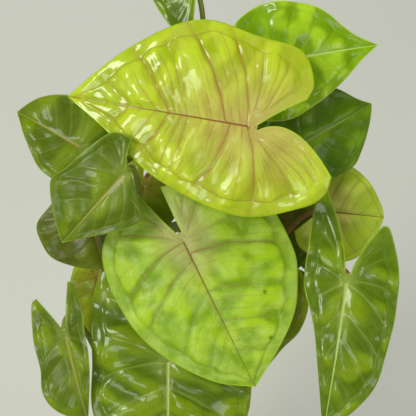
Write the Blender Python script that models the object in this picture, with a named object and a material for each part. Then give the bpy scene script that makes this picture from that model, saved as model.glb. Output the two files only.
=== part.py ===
"""Arrowhead plant in a plain pot: glossy arrow-shaped leaves on stalks that rise from the soil.

The origin is at the centre of the pot's foot, +Z is up, and the plant's showy side faces -Y.
"""
import bpy
import math
import random
from dataclasses import dataclass
from mathutils import Vector
import numpy as np

MM = 0.001

# pot, in millimetres
POT_HEIGHT = 104.0
POT_FOOT_RADIUS = 39.0
POT_BODY_TOP_RADIUS = 52.0
POT_BAND_RADIUS = 56.0
POT_BAND_HEIGHT = 22.0
POT_WALL = 4.0
POT_FLOOR = 5.0
POT_SIDES = 48
DRAIN_RADIUS = 4.5
DRAIN_RING = 20.0
DRAINS = 4

# soil
SOIL_LEVEL = 92.0
SOIL_RELIEF = 2.2
SOIL_GAP = 0.3
CROWN_RADIUS = 34.0
HOLE_SIDES = 12

# leaves
BLADE_THICK = 0.8
COLLAR = 2.6
COLLAR_OPEN_DEG = 152.0
QUILT = 0.35
STALK_SINK = 12.0
STALK_TOP = 1.0
STALK_GROWTH = 0.006
SHEATH_SWELL = 1.45
STALK_STEPS = 7
TIP_VEIN = 8
BASAL_VEIN = 3
MARGIN_SHARE = (0, 0.15, 0.31, 0.48, 0.62, 0.74, 0.84, 0.93, 1)
MIDRIB_SHARE = (0, 0, 0, 0, 0.17, 0.35, 0.54, 0.75, 1)
FINE_VEINS = [i / 2 for i in range(17)]
PLAIN_VEINS = [0, 0.75, 1.5, 2.25, 3, 3.5, 4, 4.75, 5.5, 6.25, 7.1, 8]
LARGE_LEAF = 53.0

COLOURS = {
    "terracotta": (0.52, 0.22, 0.12, 1),
    "potting_soil": (0.06, 0.04, 0.03, 1),
    "lime_leaf": (0.40, 0.55, 0.06, 1),
    "green_leaf": (0.17, 0.32, 0.03, 1),
    "olive_leaf": (0.11, 0.18, 0.02, 1),
}


def plain_half(length, width):
    """Margin of an ordinary half blade, from the inner corner of its lobe to the tip."""
    shares = ((-0.26, 0.13), (-0.33, 0.33), (-0.30, 0.6), (-0.13, 0.89), (0.08, 1),
              (0.3, 0.92), (0.56, 0.6), (0.8, 0.22), (0.93, 0.06), (1, 0))
    return [(length * along, width * out) for along, out in shares]


@dataclass
class Leaf:
    """One leaf: where its blade joins the stalk, how it is turned, and its outline."""
    name: str
    finish: str
    at: tuple
    heading: float
    pitch: float
    roll: float
    left: list
    right: list
    inner: tuple = (1.5, 1.5)
    droop: float = 20
    dip: float = 10
    fold: float = 6
    curl: float = -15
    wave: float = 1
    waves: float = 2
    phase: float = 0
    foot: tuple = (0, 0)
    tuck: float = 60
    lead: float = 45
    rise: float = 60

    @property
    def length(self):
        return self.left[-1][0]

    @property
    def stalk_top(self):
        return STALK_TOP + STALK_GROWTH * self.length

    @property
    def stalk_foot(self):
        return self.stalk_top * SHEATH_SWELL

    def outline(self, side):
        return self.left if side > 0 else self.right


# Each margin runs from the inner corner of the lobe to the tip, as (along, out) in the blade.
LEAVES = [
    Leaf("leaf_crown", "lime_leaf", (39, -2, 326), 171, 6, -54,
         left=[(-41, 17), (-39, 26), (-29, 34), (0, 43), (40, 32.5), (72, 11.5), (92, 0)],
         right=[(-23, 17), (-25, 26), (-17, 40), (3, 43.5), (33, 47.5), (62, 31), (92, 0)],
         inner=(-11, 9), droop=14, dip=6, fold=5, curl=-22,
         wave=1.6, waves=2, phase=0.1, foot=(6, -6), tuck=70, lead=45, rise=115),
    Leaf("leaf_heart", "lime_leaf", (5, -16, 272), -55, -40, 28,
         left=[(-27, 1.5), (-20, 29), (0, 45), (27, 47.5), (44, 42), (61, 30), (82, 0)],
         right=[(-30, 10), (-24, 22), (-12, 38), (10, 43), (40, 38), (68, 19), (82, 0)],
         inner=(1, 6), droop=22, dip=10, fold=5, curl=-25,
         wave=1.4, waves=2, phase=0.3, foot=(-4, -14), tuck=75, lead=45, rise=115),
    Leaf("leaf_back_left", "green_leaf", (-44, 25, 296), 157, 22, -39,
         left=[(-14, 6), (-9, 14), (2, 20), (14, 19.5), (28, 10.5), (36, 4), (41, 0)],
         right=[(-16, 8), (-13, 18), (0, 25), (10, 24.5), (22, 20), (34, 12), (41, 0)],
         inner=(3, 4), droop=20, dip=10, fold=6, curl=-15,
         wave=1, waves=2, phase=0.74, foot=(-18, 2), tuck=60, lead=45, rise=115),
    Leaf("leaf_left", "green_leaf", (-21, -13, 308), -149, -39, -49,
         left=[(8, 9), (9, 14), (12, 20.5), (18, 19.5), (26, 14.5), (37, 6.5), (47, 0)],
         right=[(-14, 8), (-10, 17), (4, 21), (18, 22.5), (27, 24), (37, 14), (47, 0)],
         inner=(4, 6), droop=20, dip=12, fold=6, curl=-15,
         wave=1, waves=2, phase=0.11, foot=(-12, -10), tuck=80, lead=60, rise=185),
    Leaf("leaf_inner_left", "olive_leaf", (-14, 27, 275), -113, -53, -19,
         left=[(-12, 3), (-11, 12), (-2, 19), (10, 20), (22, 15), (34, 6), (40, 0)],
         right=[(-11, 3), (-9, 9), (-2, 12), (10, 12.5), (22, 9.5), (34, 4), (40, 0)],
         inner=(2, 2), droop=20, dip=10, fold=6, curl=-15,
         wave=1, waves=2, phase=0.48, foot=(-10, -1), tuck=60, lead=45, rise=115),
    Leaf("leaf_left_low", "olive_leaf", (-41, 4, 271), -65, -52, 20,
         left=[(-13, 6), (-8, 11), (2, 14), (10, 13), (17, 10), (24, 5), (29, 0)],
         right=[(-16, 9), (-10, 17), (-3, 26), (5, 27), (15, 24), (23, 14), (29, 0)],
         inner=(5, 5), droop=20, dip=10, fold=6, curl=-15,
         wave=1, waves=2, phase=0.85, foot=(-16, -18), tuck=60, lead=45, rise=115),
    Leaf("leaf_narrow_left", "olive_leaf", (-40, 22, 221), -104, -60, -12,
         left=[(-10, 3), (-10, 8), (-4, 12), (6, 14), (14, 13.5), (21, 11), (29, 7), (38, 0)],
         right=[(-10, 3), (-10, 8), (-4, 12), (6, 14), (14, 14), (21, 11.5), (29, 7), (38, 0)],
         inner=(2, 2), droop=20, dip=10, fold=6, curl=-15,
         wave=1, waves=2, phase=0.22, foot=(-20, -8), tuck=60, lead=45, rise=115),
    Leaf("leaf_hanging_left", "green_leaf", (-53, -32, 226), -69, -48, 17,
         left=[(-24, 7), (-21, 10), (-8, 11), (4, 9.5), (14, 9), (28, 6), (48, 0)],
         right=[(-19, 10), (-16, 13), (0, 16), (15, 16), (27, 18), (38, 13), (48, 0)],
         inner=(3, 4), droop=25, dip=10, fold=6, curl=-15,
         wave=1, waves=2, phase=0.59, foot=(-25, -18), tuck=60, lead=45, rise=115),
    Leaf("leaf_front", "green_leaf", (-2, -34, 211), -90, -55, 0,
         left=[(-33, 22), (-30, 33), (-8, 41), (14, 42), (34, 38), (56, 20), (76, 0)],
         right=[(-48, 24), (-46, 32), (-28, 38), (0, 38), (30, 37), (56, 20), (76, 0)],
         inner=(6, 6), droop=25, dip=14, fold=6, curl=-15,
         wave=1.6, waves=2, phase=0.2, foot=(-6, -23), tuck=70, lead=45, rise=115),
    Leaf("leaf_hanging_right", "green_leaf", (86, -24, 253), -103, -50, -10,
         left=[(-28, 14), (-26, 18), (-10, 24), (8, 26), (26, 25), (54, 20), (80, 0)],
         right=[(-43, 16), (-38, 20), (-16, 21), (6, 20.5), (24, 13.5), (48, 7.5), (80, 0)],
         inner=(3, 3), droop=25, dip=8, fold=6, curl=-15,
         wave=1.4, waves=3, phase=0.4, foot=(14, -16), tuck=65, lead=45, rise=115),
    Leaf("leaf_right_pale", "lime_leaf", (77, 20, 262), -3, -5, 55,
         left=[(-14, 12), (-10, 20), (2, 25), (12, 24), (21, 18), (29, 7), (32, 0)],
         right=[(-14, 12), (-10, 20), (2, 25), (12, 25), (20, 21), (28, 10), (32, 0)],
         inner=(4, 4), droop=20, dip=10, fold=6, curl=-15,
         wave=1, waves=2, phase=0.7, foot=(21, -7), tuck=65, lead=45, rise=115),
    Leaf("leaf_right_dark", "green_leaf", (63, 28, 296), 23, 20, 53,
         left=[(-16, 9), (-12, 18), (2, 23), (14, 22), (30, 17.5), (40, 5.5), (46, 0)],
         right=[(-16, 9), (-12, 17), (0, 22), (18, 23), (28, 18), (38, 9), (46, 0)],
         inner=(4, 4), droop=20, dip=10, fold=6, curl=-15,
         wave=1, waves=2, phase=0.07, foot=(14, 2), tuck=65, lead=45, rise=115),
    Leaf("leaf_upper_right", "green_leaf", (53, 47, 334), 13, 4, 54,
         left=[(-22, 14), (-17, 23), (-3, 29.5), (14, 28), (26.5, 22), (42, 7), (55, 0)],
         right=[(-22, 12), (-18, 24), (-8, 29), (5, 28.5), (27, 18), (44, 6), (55, 0)],
         inner=(6, 6), droop=20, dip=12, fold=6, curl=-15,
         wave=2, waves=2.5, phase=0, foot=(9, 8), tuck=65, lead=45, rise=115),
    Leaf("leaf_topmost", "green_leaf", (12, 57, 369), 129, 39, -32,
         left=[(-18, 12), (-14, 19), (4, 21), (16, 19), (30, 14), (44, 6), (52, 0)],
         right=[(-9, 6), (-8, 13), (2, 19), (14, 20), (28, 15), (42, 6), (52, 0)],
         inner=(5, 5), droop=20, dip=10, fold=6, curl=-15,
         wave=1, waves=2, phase=0.81, foot=(-1, 3), tuck=65, lead=45, rise=115),
    Leaf("leaf_inner_right", "olive_leaf", (45, -9, 234), -97, -55, -6,
         left=[(-16, 8), (-12, 18), (-2, 23), (9, 24), (20, 20.5), (30, 12), (49, 0)],
         right=plain_half(49, 22),
         inner=(4, 4), droop=20, dip=10, fold=6, curl=-15,
         wave=1, waves=2, phase=0.18, foot=(5, -20), tuck=65, lead=45, rise=115),
    Leaf("leaf_rear_left", "green_leaf", (-4, 68, 268), 125, -25, 0,
         left=plain_half(48, 25), right=plain_half(48, 24),
         inner=(1.5, 1.5), droop=20, dip=10, fold=6, curl=-15,
         wave=1, waves=2, phase=0.55, foot=(-12, 14), tuck=60, lead=45, rise=115),
    Leaf("leaf_rear_right", "olive_leaf", (49, 68, 284), 70, -20, 0,
         left=plain_half(50, 25), right=plain_half(50, 26),
         inner=(1.5, 1.5), droop=20, dip=10, fold=6, curl=-15,
         wave=1, waves=2, phase=0.92, foot=(13, 17), tuck=60, lead=45, rise=115),
    Leaf("leaf_rear_middle", "green_leaf", (13, 76, 248), 95, -45, 0,
         left=plain_half(46, 24), right=plain_half(46, 24),
         inner=(1.5, 1.5), droop=20, dip=10, fold=6, curl=-15,
         wave=1, waves=2, phase=0.29, foot=(-3, 20), tuck=60, lead=45, rise=115),
    Leaf("leaf_side_right", "olive_leaf", (60, 54, 240), -88, -44, 0,
         left=plain_half(42, 22), right=plain_half(42, 21),
         inner=(1.5, 1.5), droop=20, dip=10, fold=6, curl=-15,
         wave=1, waves=2, phase=0.66, foot=(21, 12), tuck=60, lead=45, rise=115),
    Leaf("leaf_side_left", "green_leaf", (-27, 46, 238), 140, -35, 0,
         left=plain_half(42, 21), right=plain_half(42, 22),
         inner=(1.5, 1.5), droop=20, dip=10, fold=6, curl=-15,
         wave=1, waves=2, phase=0.03, foot=(-16, 21), tuck=60, lead=28, rise=70),
    Leaf("leaf_rear_low_right", "olive_leaf", (51, 84, 211), 60, -50, 0,
         left=plain_half(40, 20), right=plain_half(40, 21),
         inner=(1.5, 1.5), droop=20, dip=10, fold=6, curl=-15,
         wave=1, waves=2, phase=0.4, foot=(8, 26), tuck=60, lead=28, rise=70),
    Leaf("leaf_rear_low_left", "green_leaf", (-12, 71, 213), 115, -50, 0,
         left=plain_half(40, 21), right=plain_half(40, 20),
         inner=(1.5, 1.5), droop=20, dip=10, fold=6, curl=-15,
         wave=1, waves=2, phase=0.77, foot=(-7, 28), tuck=60, lead=28, rise=70),
    Leaf("leaf_low_right", "olive_leaf", (74, 38, 206), 8, -50, 0,
         left=plain_half(40, 18), right=plain_half(40, 18),
         inner=(1.5, 1.5), droop=20, dip=10, fold=6, curl=-15,
         wave=1, waves=2, phase=0.14, foot=(27, 5), tuck=60, lead=28, rise=70),
    Leaf("leaf_low_left", "green_leaf", (-41, 42, 188), 172, -50, 0,
         left=plain_half(38, 17), right=plain_half(38, 17),
         inner=(1.5, 1.5), droop=20, dip=10, fold=6, curl=-15,
         wave=1, waves=2, phase=0.51, foot=(-30, 8), tuck=85, lead=14, rise=45),
    Leaf("leaf_rear_top", "olive_leaf", (24, 76, 294), 82, 6, 0,
         left=plain_half(46, 23), right=plain_half(46, 23),
         inner=(1.5, 1.5), droop=20, dip=10, fold=6, curl=-15,
         wave=1, waves=2, phase=0.88, foot=(4, 14.5), tuck=60, lead=45, rise=115),
    Leaf("leaf_rear_upper_left", "green_leaf", (-33, 50, 292), 160, -5, 0,
         left=plain_half(42, 21), right=plain_half(42, 21),
         inner=(1.5, 1.5), droop=20, dip=10, fold=6, curl=-15,
         wave=1, waves=2, phase=0.25, foot=(-25, 14), tuck=60, lead=45, rise=115),
    Leaf("leaf_low_front_left", "olive_leaf", (-34, -36, 150), -125, -35, 0,
         left=plain_half(40, 19), right=plain_half(40, 19),
         inner=(1.5, 1.5), droop=20, dip=10, fold=6, curl=-15,
         wave=1, waves=2, phase=0.62, foot=(-14, -27), tuck=60, lead=25, rise=35),
    Leaf("leaf_low_front_right", "green_leaf", (30, -40, 142), -55, -35, 0,
         left=plain_half(38, 18), right=plain_half(38, 18),
         inner=(1.5, 1.5), droop=20, dip=10, fold=6, curl=-15,
         wave=1, waves=2, phase=0.99, foot=(9, -28), tuck=60, lead=22, rise=32),]


def smooth_line(points, steps=24):
    """Catmull-Rom curve through the points."""
    p = np.array(points, float)
    p = np.vstack([2 * p[0] - p[1], p, 2 * p[-1] - p[-2]])
    t = np.linspace(0, 1, steps, endpoint=False)[:, None]
    spans = []
    for a, b, c, d in zip(p[:-3], p[1:-2], p[2:-1], p[3:]):
        spans.append(0.5 * (2 * b + (c - a) * t + (2 * a - 5 * b + 4 * c - d) * t ** 2
                            + (3 * b - a - 3 * c + d) * t ** 3))
    spans.append(p[-2][None])
    return np.vstack(spans)


def at_share(line, share):
    """Points at the given shares of a line's length."""
    steps = np.linalg.norm(np.diff(line, axis=0), axis=1)
    run = np.concatenate([[0], np.cumsum(steps)])
    run /= run[-1]
    return np.stack([np.interp(share, run, line[:, 0]), np.interp(share, run, line[:, 1])], -1)


def flat_half(leaf, side, vein, out):
    """Flat blade position of a vein number (0 sinus, 8 tip) and a share of the way to the margin."""
    points = leaf.outline(side)
    numbers = np.arange(TIP_VEIN + 1)
    end = at_share(smooth_line(points), np.interp(vein, numbers, MARGIN_SHARE))
    share = np.interp(vein, numbers, MIDRIB_SHARE)
    angle = math.radians(COLLAR_OPEN_DEG) * np.clip(1 - vein / BASAL_VEIN, 0, 1)
    start = np.stack([COLLAR * np.cos(angle) + share * (leaf.length - COLLAR),
                      COLLAR * np.sin(angle)], -1)
    chord = end - start
    turn = math.radians(16) * (1 - share)
    bent = np.stack([chord[..., 0] * np.cos(turn) - chord[..., 1] * np.sin(turn),
                     chord[..., 0] * np.sin(turn) + chord[..., 1] * np.cos(turn)], -1)
    sinus = np.array([0.45 * points[0][0], leaf.inner[0 if side > 0 else 1]])
    near = np.clip(1 - vein / 1.2, 0, 1)[..., None]
    near = near * near * (3 - 2 * near)
    control = (start + 0.5 * bent) * (1 - near) + sinus * near
    t = out[..., None]
    return (1 - t) ** 2 * start + 2 * t * (1 - t) * control + t * t * end


def arched(leaf, along):
    """Droop of the midrib: distance forward, height and slope for a distance along the blade."""
    bend = math.radians(leaf.droop)
    g = np.linspace(0, 1.15, 60)
    slope = bend * ((g[1:] + g[:-1]) / 2) ** 1.3
    step = np.diff(g) * leaf.length
    ahead = np.concatenate([[0], np.cumsum(np.cos(slope) * step)])
    drop = np.concatenate([[0], np.cumsum(np.sin(slope) * step)])
    share = np.clip(along / leaf.length, 0, None)
    back = max(-leaf.left[0][0], -leaf.right[0][0])
    dip = math.radians(leaf.dip)
    behind = dip * np.clip(-along / back, 0, None)
    x = np.where(along >= 0, np.interp(share, g, ahead), -np.sin(behind) / dip * back)
    z = np.where(along >= 0, -np.interp(share, g, drop), -(1 - np.cos(behind)) / dip * back)
    return x, z, np.where(along >= 0, bend * share ** 1.3, -behind)


def curved(leaf, side, flat):
    """Flat blade points carried to the leaf's own curved surface."""
    along = flat[..., 0]
    out = flat[..., 1]
    wide = max(p[1] for p in leaf.outline(side))
    first = math.radians(leaf.fold)
    rate = math.radians(leaf.curl) / wide
    far = np.abs(out)
    reach = (np.sin(first + rate * far) - math.sin(first)) / rate * np.sign(out)
    lift = (math.cos(first) - np.cos(first + rate * far)) / rate * (out > 0)
    turn = 2 * math.pi * (leaf.waves * along / leaf.length + leaf.phase + (0 if side > 0 else 0.31))
    lift = lift + leaf.wave * (far / wide) ** 2 * np.sin(turn)
    x, z, slope = arched(leaf, along)
    return np.stack([x + lift * np.sin(slope), side * reach, z + lift * np.cos(slope)], -1)


def blade_axes(leaf):
    """World directions of the blade: towards the tip, to its left, and out of its upper face."""
    heading = math.radians(leaf.heading)
    pitch = math.radians(leaf.pitch)
    roll = math.radians(leaf.roll)
    ahead = Vector((math.cos(pitch) * math.cos(heading), math.cos(pitch) * math.sin(heading),
                    math.sin(pitch)))
    level = Vector((-math.sin(heading), math.cos(heading), 0))
    raised = ahead.cross(level)
    left = level * math.cos(roll) + raised * math.sin(roll)
    up = raised * math.cos(roll) - level * math.sin(roll)
    return np.array([ahead, left, up])


def to_world(leaf, local):
    """Leaf-frame points in the plant's frame."""
    return np.array(leaf.at, float) + local @ blade_axes(leaf)


def blade_half(leaf, side, veins, rings):
    """Middle surface and its normals over one half of a blade."""
    vein, out = np.meshgrid(veins, np.linspace(0, 1, rings + 1), indexing="ij")
    flat = flat_half(leaf, side, vein, out)
    step = 0.05
    across = np.array([0, step])
    ahead = np.array([step, 0])
    d_along = curved(leaf, side, flat + ahead) - curved(leaf, side, flat - ahead)
    d_out = curved(leaf, side, flat + across) - curved(leaf, side, flat - across)
    normal = np.cross(d_along, d_out) * side
    normal /= np.linalg.norm(normal, axis=-1, keepdims=True)
    ridge = -np.cos(2 * math.pi * vein) * np.sin(math.pi * out) * QUILT
    return curved(leaf, side, flat) + normal * ridge[..., None], normal


def stalk_line(leaf, steps):
    """Centres of the stalk's rings, from just under the blade to the floor of its hole."""
    top = np.array(leaf.at, float)
    tuck = math.radians(leaf.tuck)
    out = np.array([-math.cos(tuck), 0, -math.sin(tuck)]) @ blade_axes(leaf)
    foot = np.array([leaf.foot[0], leaf.foot[1], SOIL_LEVEL])
    lean = (top - foot) * (1, 1, 0)
    arms = (top + out * 2.5, top + out * leaf.lead, foot + (0, 0, leaf.rise) + 0.12 * lean, foot)
    t = np.linspace(0, 1, steps + 1)[:, None]
    line = ((1 - t) ** 3 * arms[0] + 3 * t * (1 - t) ** 2 * arms[1] + 3 * t * t * (1 - t) * arms[2]
            + t ** 3 * arms[3])
    return np.vstack([line, foot - (0, 0, STALK_SINK)])


def stalk_radius(leaf, share):
    """Radius of the stalk: slim under the blade and sheathed near the soil."""
    sheath = 1 / (1 + math.exp(-(share - 0.62) * 14))
    return leaf.stalk_top * (1 + 0.15 * share) * (1 - sheath) + leaf.stalk_foot * sheath


class LeafSkin:
    """Closed skin of one leaf: blade and stalk in one piece."""

    def __init__(self, leaf, veins, rings, steps):
        self.leaf = leaf
        self.veins = veins
        self.rings = rings
        self.steps = steps
        self.basal = sum(1 for v in veins if v <= BASAL_VEIN) - 1
        self.points = []
        self.faces = []
        self.pairs = {}

    def add(self, point):
        self.points.append(point)
        return len(self.points) - 1

    def place(self):
        """Upper and lower point of every node of both half grids; the midrib is shared."""
        half = BLADE_THICK / 2
        grids = {side: blade_half(self.leaf, side, self.veins, self.rings) for side in (1, -1)}
        last = len(self.veins) - 1
        for side in (1, -1):
            middle, normal = grids[side]
            for i in range(last + 1):
                for j in range(self.rings + 1):
                    shared = i == last or (j == 0 and i >= self.basal)
                    if shared and (j > 0 or side < 0):
                        self.pairs[side, i, j] = self.pairs[1, i, 0]
                        continue
                    way = normal[i, j]
                    centre = middle[i, j]
                    if shared:
                        way = way + grids[-1][1][i, j]
                        way = way / np.linalg.norm(way)
                        centre = 0.5 * (centre + grids[-1][0][i, j])
                    upper = to_world(self.leaf, centre + way * half)
                    lower = to_world(self.leaf, centre - way * half)
                    self.pairs[side, i, j] = (self.add(upper), self.add(lower))

    def face(self, corners, flip):
        if len(set(corners)) == 3:
            self.faces.append(corners[::-1] if flip else corners)

    def rim(self, a, b, flip):
        """Edge of the blade between two neighbouring margin nodes."""
        self.face((a[0], b[0], b[1]), flip)
        self.face((a[0], b[1], a[1]), flip)

    def cover(self):
        """Upper and lower faces, split alike, and the rim round each half."""
        p = self.pairs
        for side in (1, -1):
            flip = side < 0
            for i in range(len(self.veins) - 1):
                for j in range(self.rings):
                    cell = (p[side, i, j], p[side, i + 1, j], p[side, i + 1, j + 1], p[side, i, j + 1])
                    for tri in ((0, 1, 2), (0, 2, 3)):
                        self.face(tuple(cell[q][0] for q in tri), flip)
                        self.face(tuple(cell[q][1] for q in tri), not flip)
                self.rim(p[side, i, self.rings], p[side, i + 1, self.rings], flip)
            for j in range(self.rings):
                self.rim(p[side, 0, j], p[side, 0, j + 1], flip)

    def stalk(self):
        """Crown of the junction, and the stalk from its underside down to the foot."""
        ring = [self.pairs[1, i, 0] for i in range(self.basal + 1)]
        ring += [self.pairs[-1, i, 0] for i in range(self.basal - 1, -1, -1)]
        crown = self.add(to_world(self.leaf, np.array([0, 0, BLADE_THICK * 0.7])))
        count = len(ring)
        for i in range(count):
            self.faces.append((crown, ring[(i + 1) % count][0], ring[i][0]))
        self.rim(ring[-1], ring[0], False)
        axes = blade_axes(self.leaf)
        line = stalk_line(self.leaf, self.steps)
        local = [(self.points[q[1]] - np.array(self.leaf.at)) @ axes.T for q in ring]
        angles = [math.atan2(v[1], v[0]) for v in local]
        across = axes[1]
        above = [q[1] for q in ring]
        for i, centre in enumerate(line):
            run = line[min(i + 1, len(line) - 1)] - line[max(i - 1, 0)]
            run = run / np.linalg.norm(run)
            across = across - (across @ run) * run
            across = across / np.linalg.norm(across)
            ahead = np.cross(run, across)
            size = stalk_radius(self.leaf, min(i / self.steps, 1))
            row = [self.add(centre + size * (math.cos(a) * ahead + math.sin(a) * across))
                   for a in angles]
            self.band(above, row)
            above = row
        end = self.add(line[-1])
        for i in range(count):
            self.faces.append((above[i], above[(i + 1) % count], end))

    def band(self, above, below):
        """Faces between two rings of the stalk."""
        count = len(above)
        for i in range(count):
            k = (i + 1) % count
            self.faces.append((above[i], above[k], below[k]))
            self.faces.append((above[i], below[k], below[i]))

    def build(self):
        self.place()
        self.cover()
        self.stalk()
        return np.array(self.points) * MM, self.faces


def material(name):
    """Plain material of a named colour."""
    found = bpy.data.materials.get(name)
    if found:
        return found
    made = bpy.data.materials.new(name)
    made.use_nodes = True
    shader = made.node_tree.nodes["Principled BSDF"]
    shader.inputs["Base Color"].default_value = COLOURS[name]
    shader.inputs["Roughness"].default_value = 0.9 if name == "potting_soil" else 0.4
    made.diffuse_color = COLOURS[name]
    return made


def add_object(name, points, faces, slot):
    """Object of the given points and faces with one material."""
    mesh = bpy.data.meshes.new(name)
    mesh.from_pydata([tuple(float(v) for v in p) for p in points], [], [tuple(f) for f in faces])
    mesh.validate()
    mesh.update()
    made = bpy.data.objects.new(name, mesh)
    bpy.context.scene.collection.objects.link(made)
    mesh.materials.append(material(slot))
    return made


def turned(profile, sides):
    """Solid turned about Z from (radius, height) points that start and end on the axis."""
    points = []
    faces = []
    rows = []
    for radius, height in profile:
        count = sides if radius > 0 else 1
        rows.append(list(range(len(points), len(points) + count)))
        for i in range(count):
            angle = 2 * math.pi * i / sides
            points.append((radius * math.cos(angle) * MM, radius * math.sin(angle) * MM, height * MM))
    for low, high in zip(rows[:-1], rows[1:]):
        for i in range(sides):
            k = (i + 1) % sides
            if len(low) == 1:
                faces.append((low[0], high[k], high[i]))
            elif len(high) == 1:
                faces.append((low[i], low[k], high[0]))
            else:
                faces.append((low[i], low[k], high[k], high[i]))
    return points, faces


def cut(target, points, faces):
    """Takes a solid away from the target."""
    tool = add_object("cutter", points, faces, "terracotta")
    step = target.modifiers.new("cut", "BOOLEAN")
    step.operation = "DIFFERENCE"
    step.solver = "EXACT"
    step.object = tool
    graph = bpy.context.evaluated_depsgraph_get()
    result = bpy.data.meshes.new_from_object(target.evaluated_get(graph))
    target.modifiers.clear()
    old = target.data
    target.data = result
    bpy.data.meshes.remove(old)
    bpy.data.objects.remove(tool)
    return target


def pins(places, sides):
    """Upright cylinders at (x, y, radius, low, high), in one cutting solid."""
    points = []
    faces = []
    for x, y, radius, low, high in places:
        start = len(points)
        for height in (low, high):
            for i in range(sides):
                angle = 2 * math.pi * (i + 0.5) / sides
                points.append(((x + radius * math.cos(angle)) * MM, (y + radius * math.sin(angle)) * MM,
                               height * MM))
        faces.append(tuple(start + i for i in reversed(range(sides))))
        faces.append(tuple(start + sides + i for i in range(sides)))
        for i in range(sides):
            k = (i + 1) % sides
            faces.append((start + i, start + k, start + sides + k, start + sides + i))
    return points, faces


def body_radius(height):
    """Outer radius of the pot's tapered body at a height."""
    share = height / (POT_HEIGHT - POT_BAND_HEIGHT)
    return POT_FOOT_RADIUS + (POT_BODY_TOP_RADIUS - POT_FOOT_RADIUS) * share


def bore_radius(height):
    """Inner radius of the pot at a height."""
    return body_radius(height) - POT_WALL


def build_pot():
    """Plain tapered pot with a rim band and off-centre drain holes in a flat foot."""
    shoulder = POT_HEIGHT - POT_BAND_HEIGHT
    profile = [
        (0, 0),
        (POT_FOOT_RADIUS - 1, 0),
        (POT_FOOT_RADIUS, 1),
        (body_radius(shoulder), shoulder),
        (POT_BAND_RADIUS - 1.5, shoulder),
        (POT_BAND_RADIUS - 0.5, shoulder + 1),
        (POT_BAND_RADIUS + 1, POT_HEIGHT - 2.5),
        (POT_BAND_RADIUS, POT_HEIGHT - 0.6),
        (POT_BAND_RADIUS - 2, POT_HEIGHT),
        (bore_radius(POT_HEIGHT) + 1.5, POT_HEIGHT - 0.4),
        (bore_radius(POT_HEIGHT - 2), POT_HEIGHT - 2),
        (bore_radius(POT_FLOOR), POT_FLOOR),
        (0, POT_FLOOR),
    ]
    points, faces = turned(profile, POT_SIDES)
    pot = add_object("pot", points, [f[::-1] for f in faces], "terracotta")
    drains = []
    for i in range(DRAINS):
        angle = 2 * math.pi * (i + 0.5) / DRAINS
        drains.append((DRAIN_RING * math.cos(angle), DRAIN_RING * math.sin(angle), DRAIN_RADIUS,
                       -2, POT_FLOOR + 2))
    return cut(pot, *pins(drains, 16))


def build_soil():
    """Filling of soil with an uneven top and a plain blind hole for each stalk."""
    rng = random.Random(7)
    top_radius = bore_radius(SOIL_LEVEL) - SOIL_GAP
    rings = [0, CROWN_RADIUS, 38, 43, 48]
    profile = [(0, POT_FLOOR + SOIL_GAP)]
    profile.append((bore_radius(POT_FLOOR) - SOIL_GAP, POT_FLOOR + SOIL_GAP))
    profile.append((top_radius - 0.1, SOIL_LEVEL - 1.5))
    profile += [(radius, SOIL_LEVEL - 0.5) for radius in reversed(rings)]
    sides = 36
    points, faces = turned(profile, sides)
    for i, (x, y, z) in enumerate(points):
        radius = math.hypot(x, y) / MM
        if z > (SOIL_LEVEL - 1) * MM and radius > CROWN_RADIUS + 1:
            points[i] = (x, y, z + MM * rng.uniform(-1, 1) * SOIL_RELIEF)
    soil = add_object("soil", points, [f[::-1] for f in faces], "potting_soil")
    floor = SOIL_LEVEL - STALK_SINK - SOIL_GAP
    round_up = 1 / math.cos(math.pi / HOLE_SIDES)
    holes = [(leaf.foot[0], leaf.foot[1], (leaf.stalk_foot + SOIL_GAP) * round_up, floor, SOIL_LEVEL + 9)
             for leaf in LEAVES]
    return cut(soil, *pins(holes, HOLE_SIDES))


def build_leaf(leaf):
    """One leaf with its stalk."""
    large = leaf.length >= LARGE_LEAF
    veins = FINE_VEINS if large else PLAIN_VEINS
    hidden = "rear" in leaf.name or "low" in leaf.name or "side" in leaf.name
    rings = 4 if large else 2 if hidden else 3
    points, faces = LeafSkin(leaf, veins, rings, STALK_STEPS).build()
    return add_object(leaf.name, points, faces, leaf.finish)


def main():
    for old in list(bpy.data.objects):
        bpy.data.objects.remove(old)
    build_pot()
    build_soil()
    for leaf in LEAVES:
        build_leaf(leaf)


main()
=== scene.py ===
"""Finished look of a potted arrowhead plant: veined glossy leaves, stalks, soil and clay pot.

Lengths in the leaf table and in the classes' fields are in millimetres; meshes are in metres.
"""
import logging
import math
import random
from dataclasses import dataclass, field, replace
from enum import Enum
from typing import Optional

import bpy
import numpy as np
from mathutils import Matrix, Vector, noise


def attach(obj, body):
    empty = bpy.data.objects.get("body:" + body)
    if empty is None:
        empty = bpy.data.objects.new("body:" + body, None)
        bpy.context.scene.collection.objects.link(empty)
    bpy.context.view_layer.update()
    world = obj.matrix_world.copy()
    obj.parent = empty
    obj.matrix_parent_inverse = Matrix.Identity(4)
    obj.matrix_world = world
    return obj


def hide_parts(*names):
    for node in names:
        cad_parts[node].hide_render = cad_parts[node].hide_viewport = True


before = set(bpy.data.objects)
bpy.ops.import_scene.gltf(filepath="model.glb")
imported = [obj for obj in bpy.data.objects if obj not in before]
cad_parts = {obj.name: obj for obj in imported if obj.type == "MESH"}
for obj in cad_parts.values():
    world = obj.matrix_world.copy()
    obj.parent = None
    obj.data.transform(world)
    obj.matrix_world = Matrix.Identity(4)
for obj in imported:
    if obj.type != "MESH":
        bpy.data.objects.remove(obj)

log = logging.getLogger("arrowhead_plant")
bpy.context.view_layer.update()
MM = 0.001
Tone = tuple[float, float, float, float]
Spot = tuple[float, float, float]
Margin = list[tuple[float, float]]
Points = np.ndarray
Ribbing = tuple[Points, Points, Points]
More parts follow.
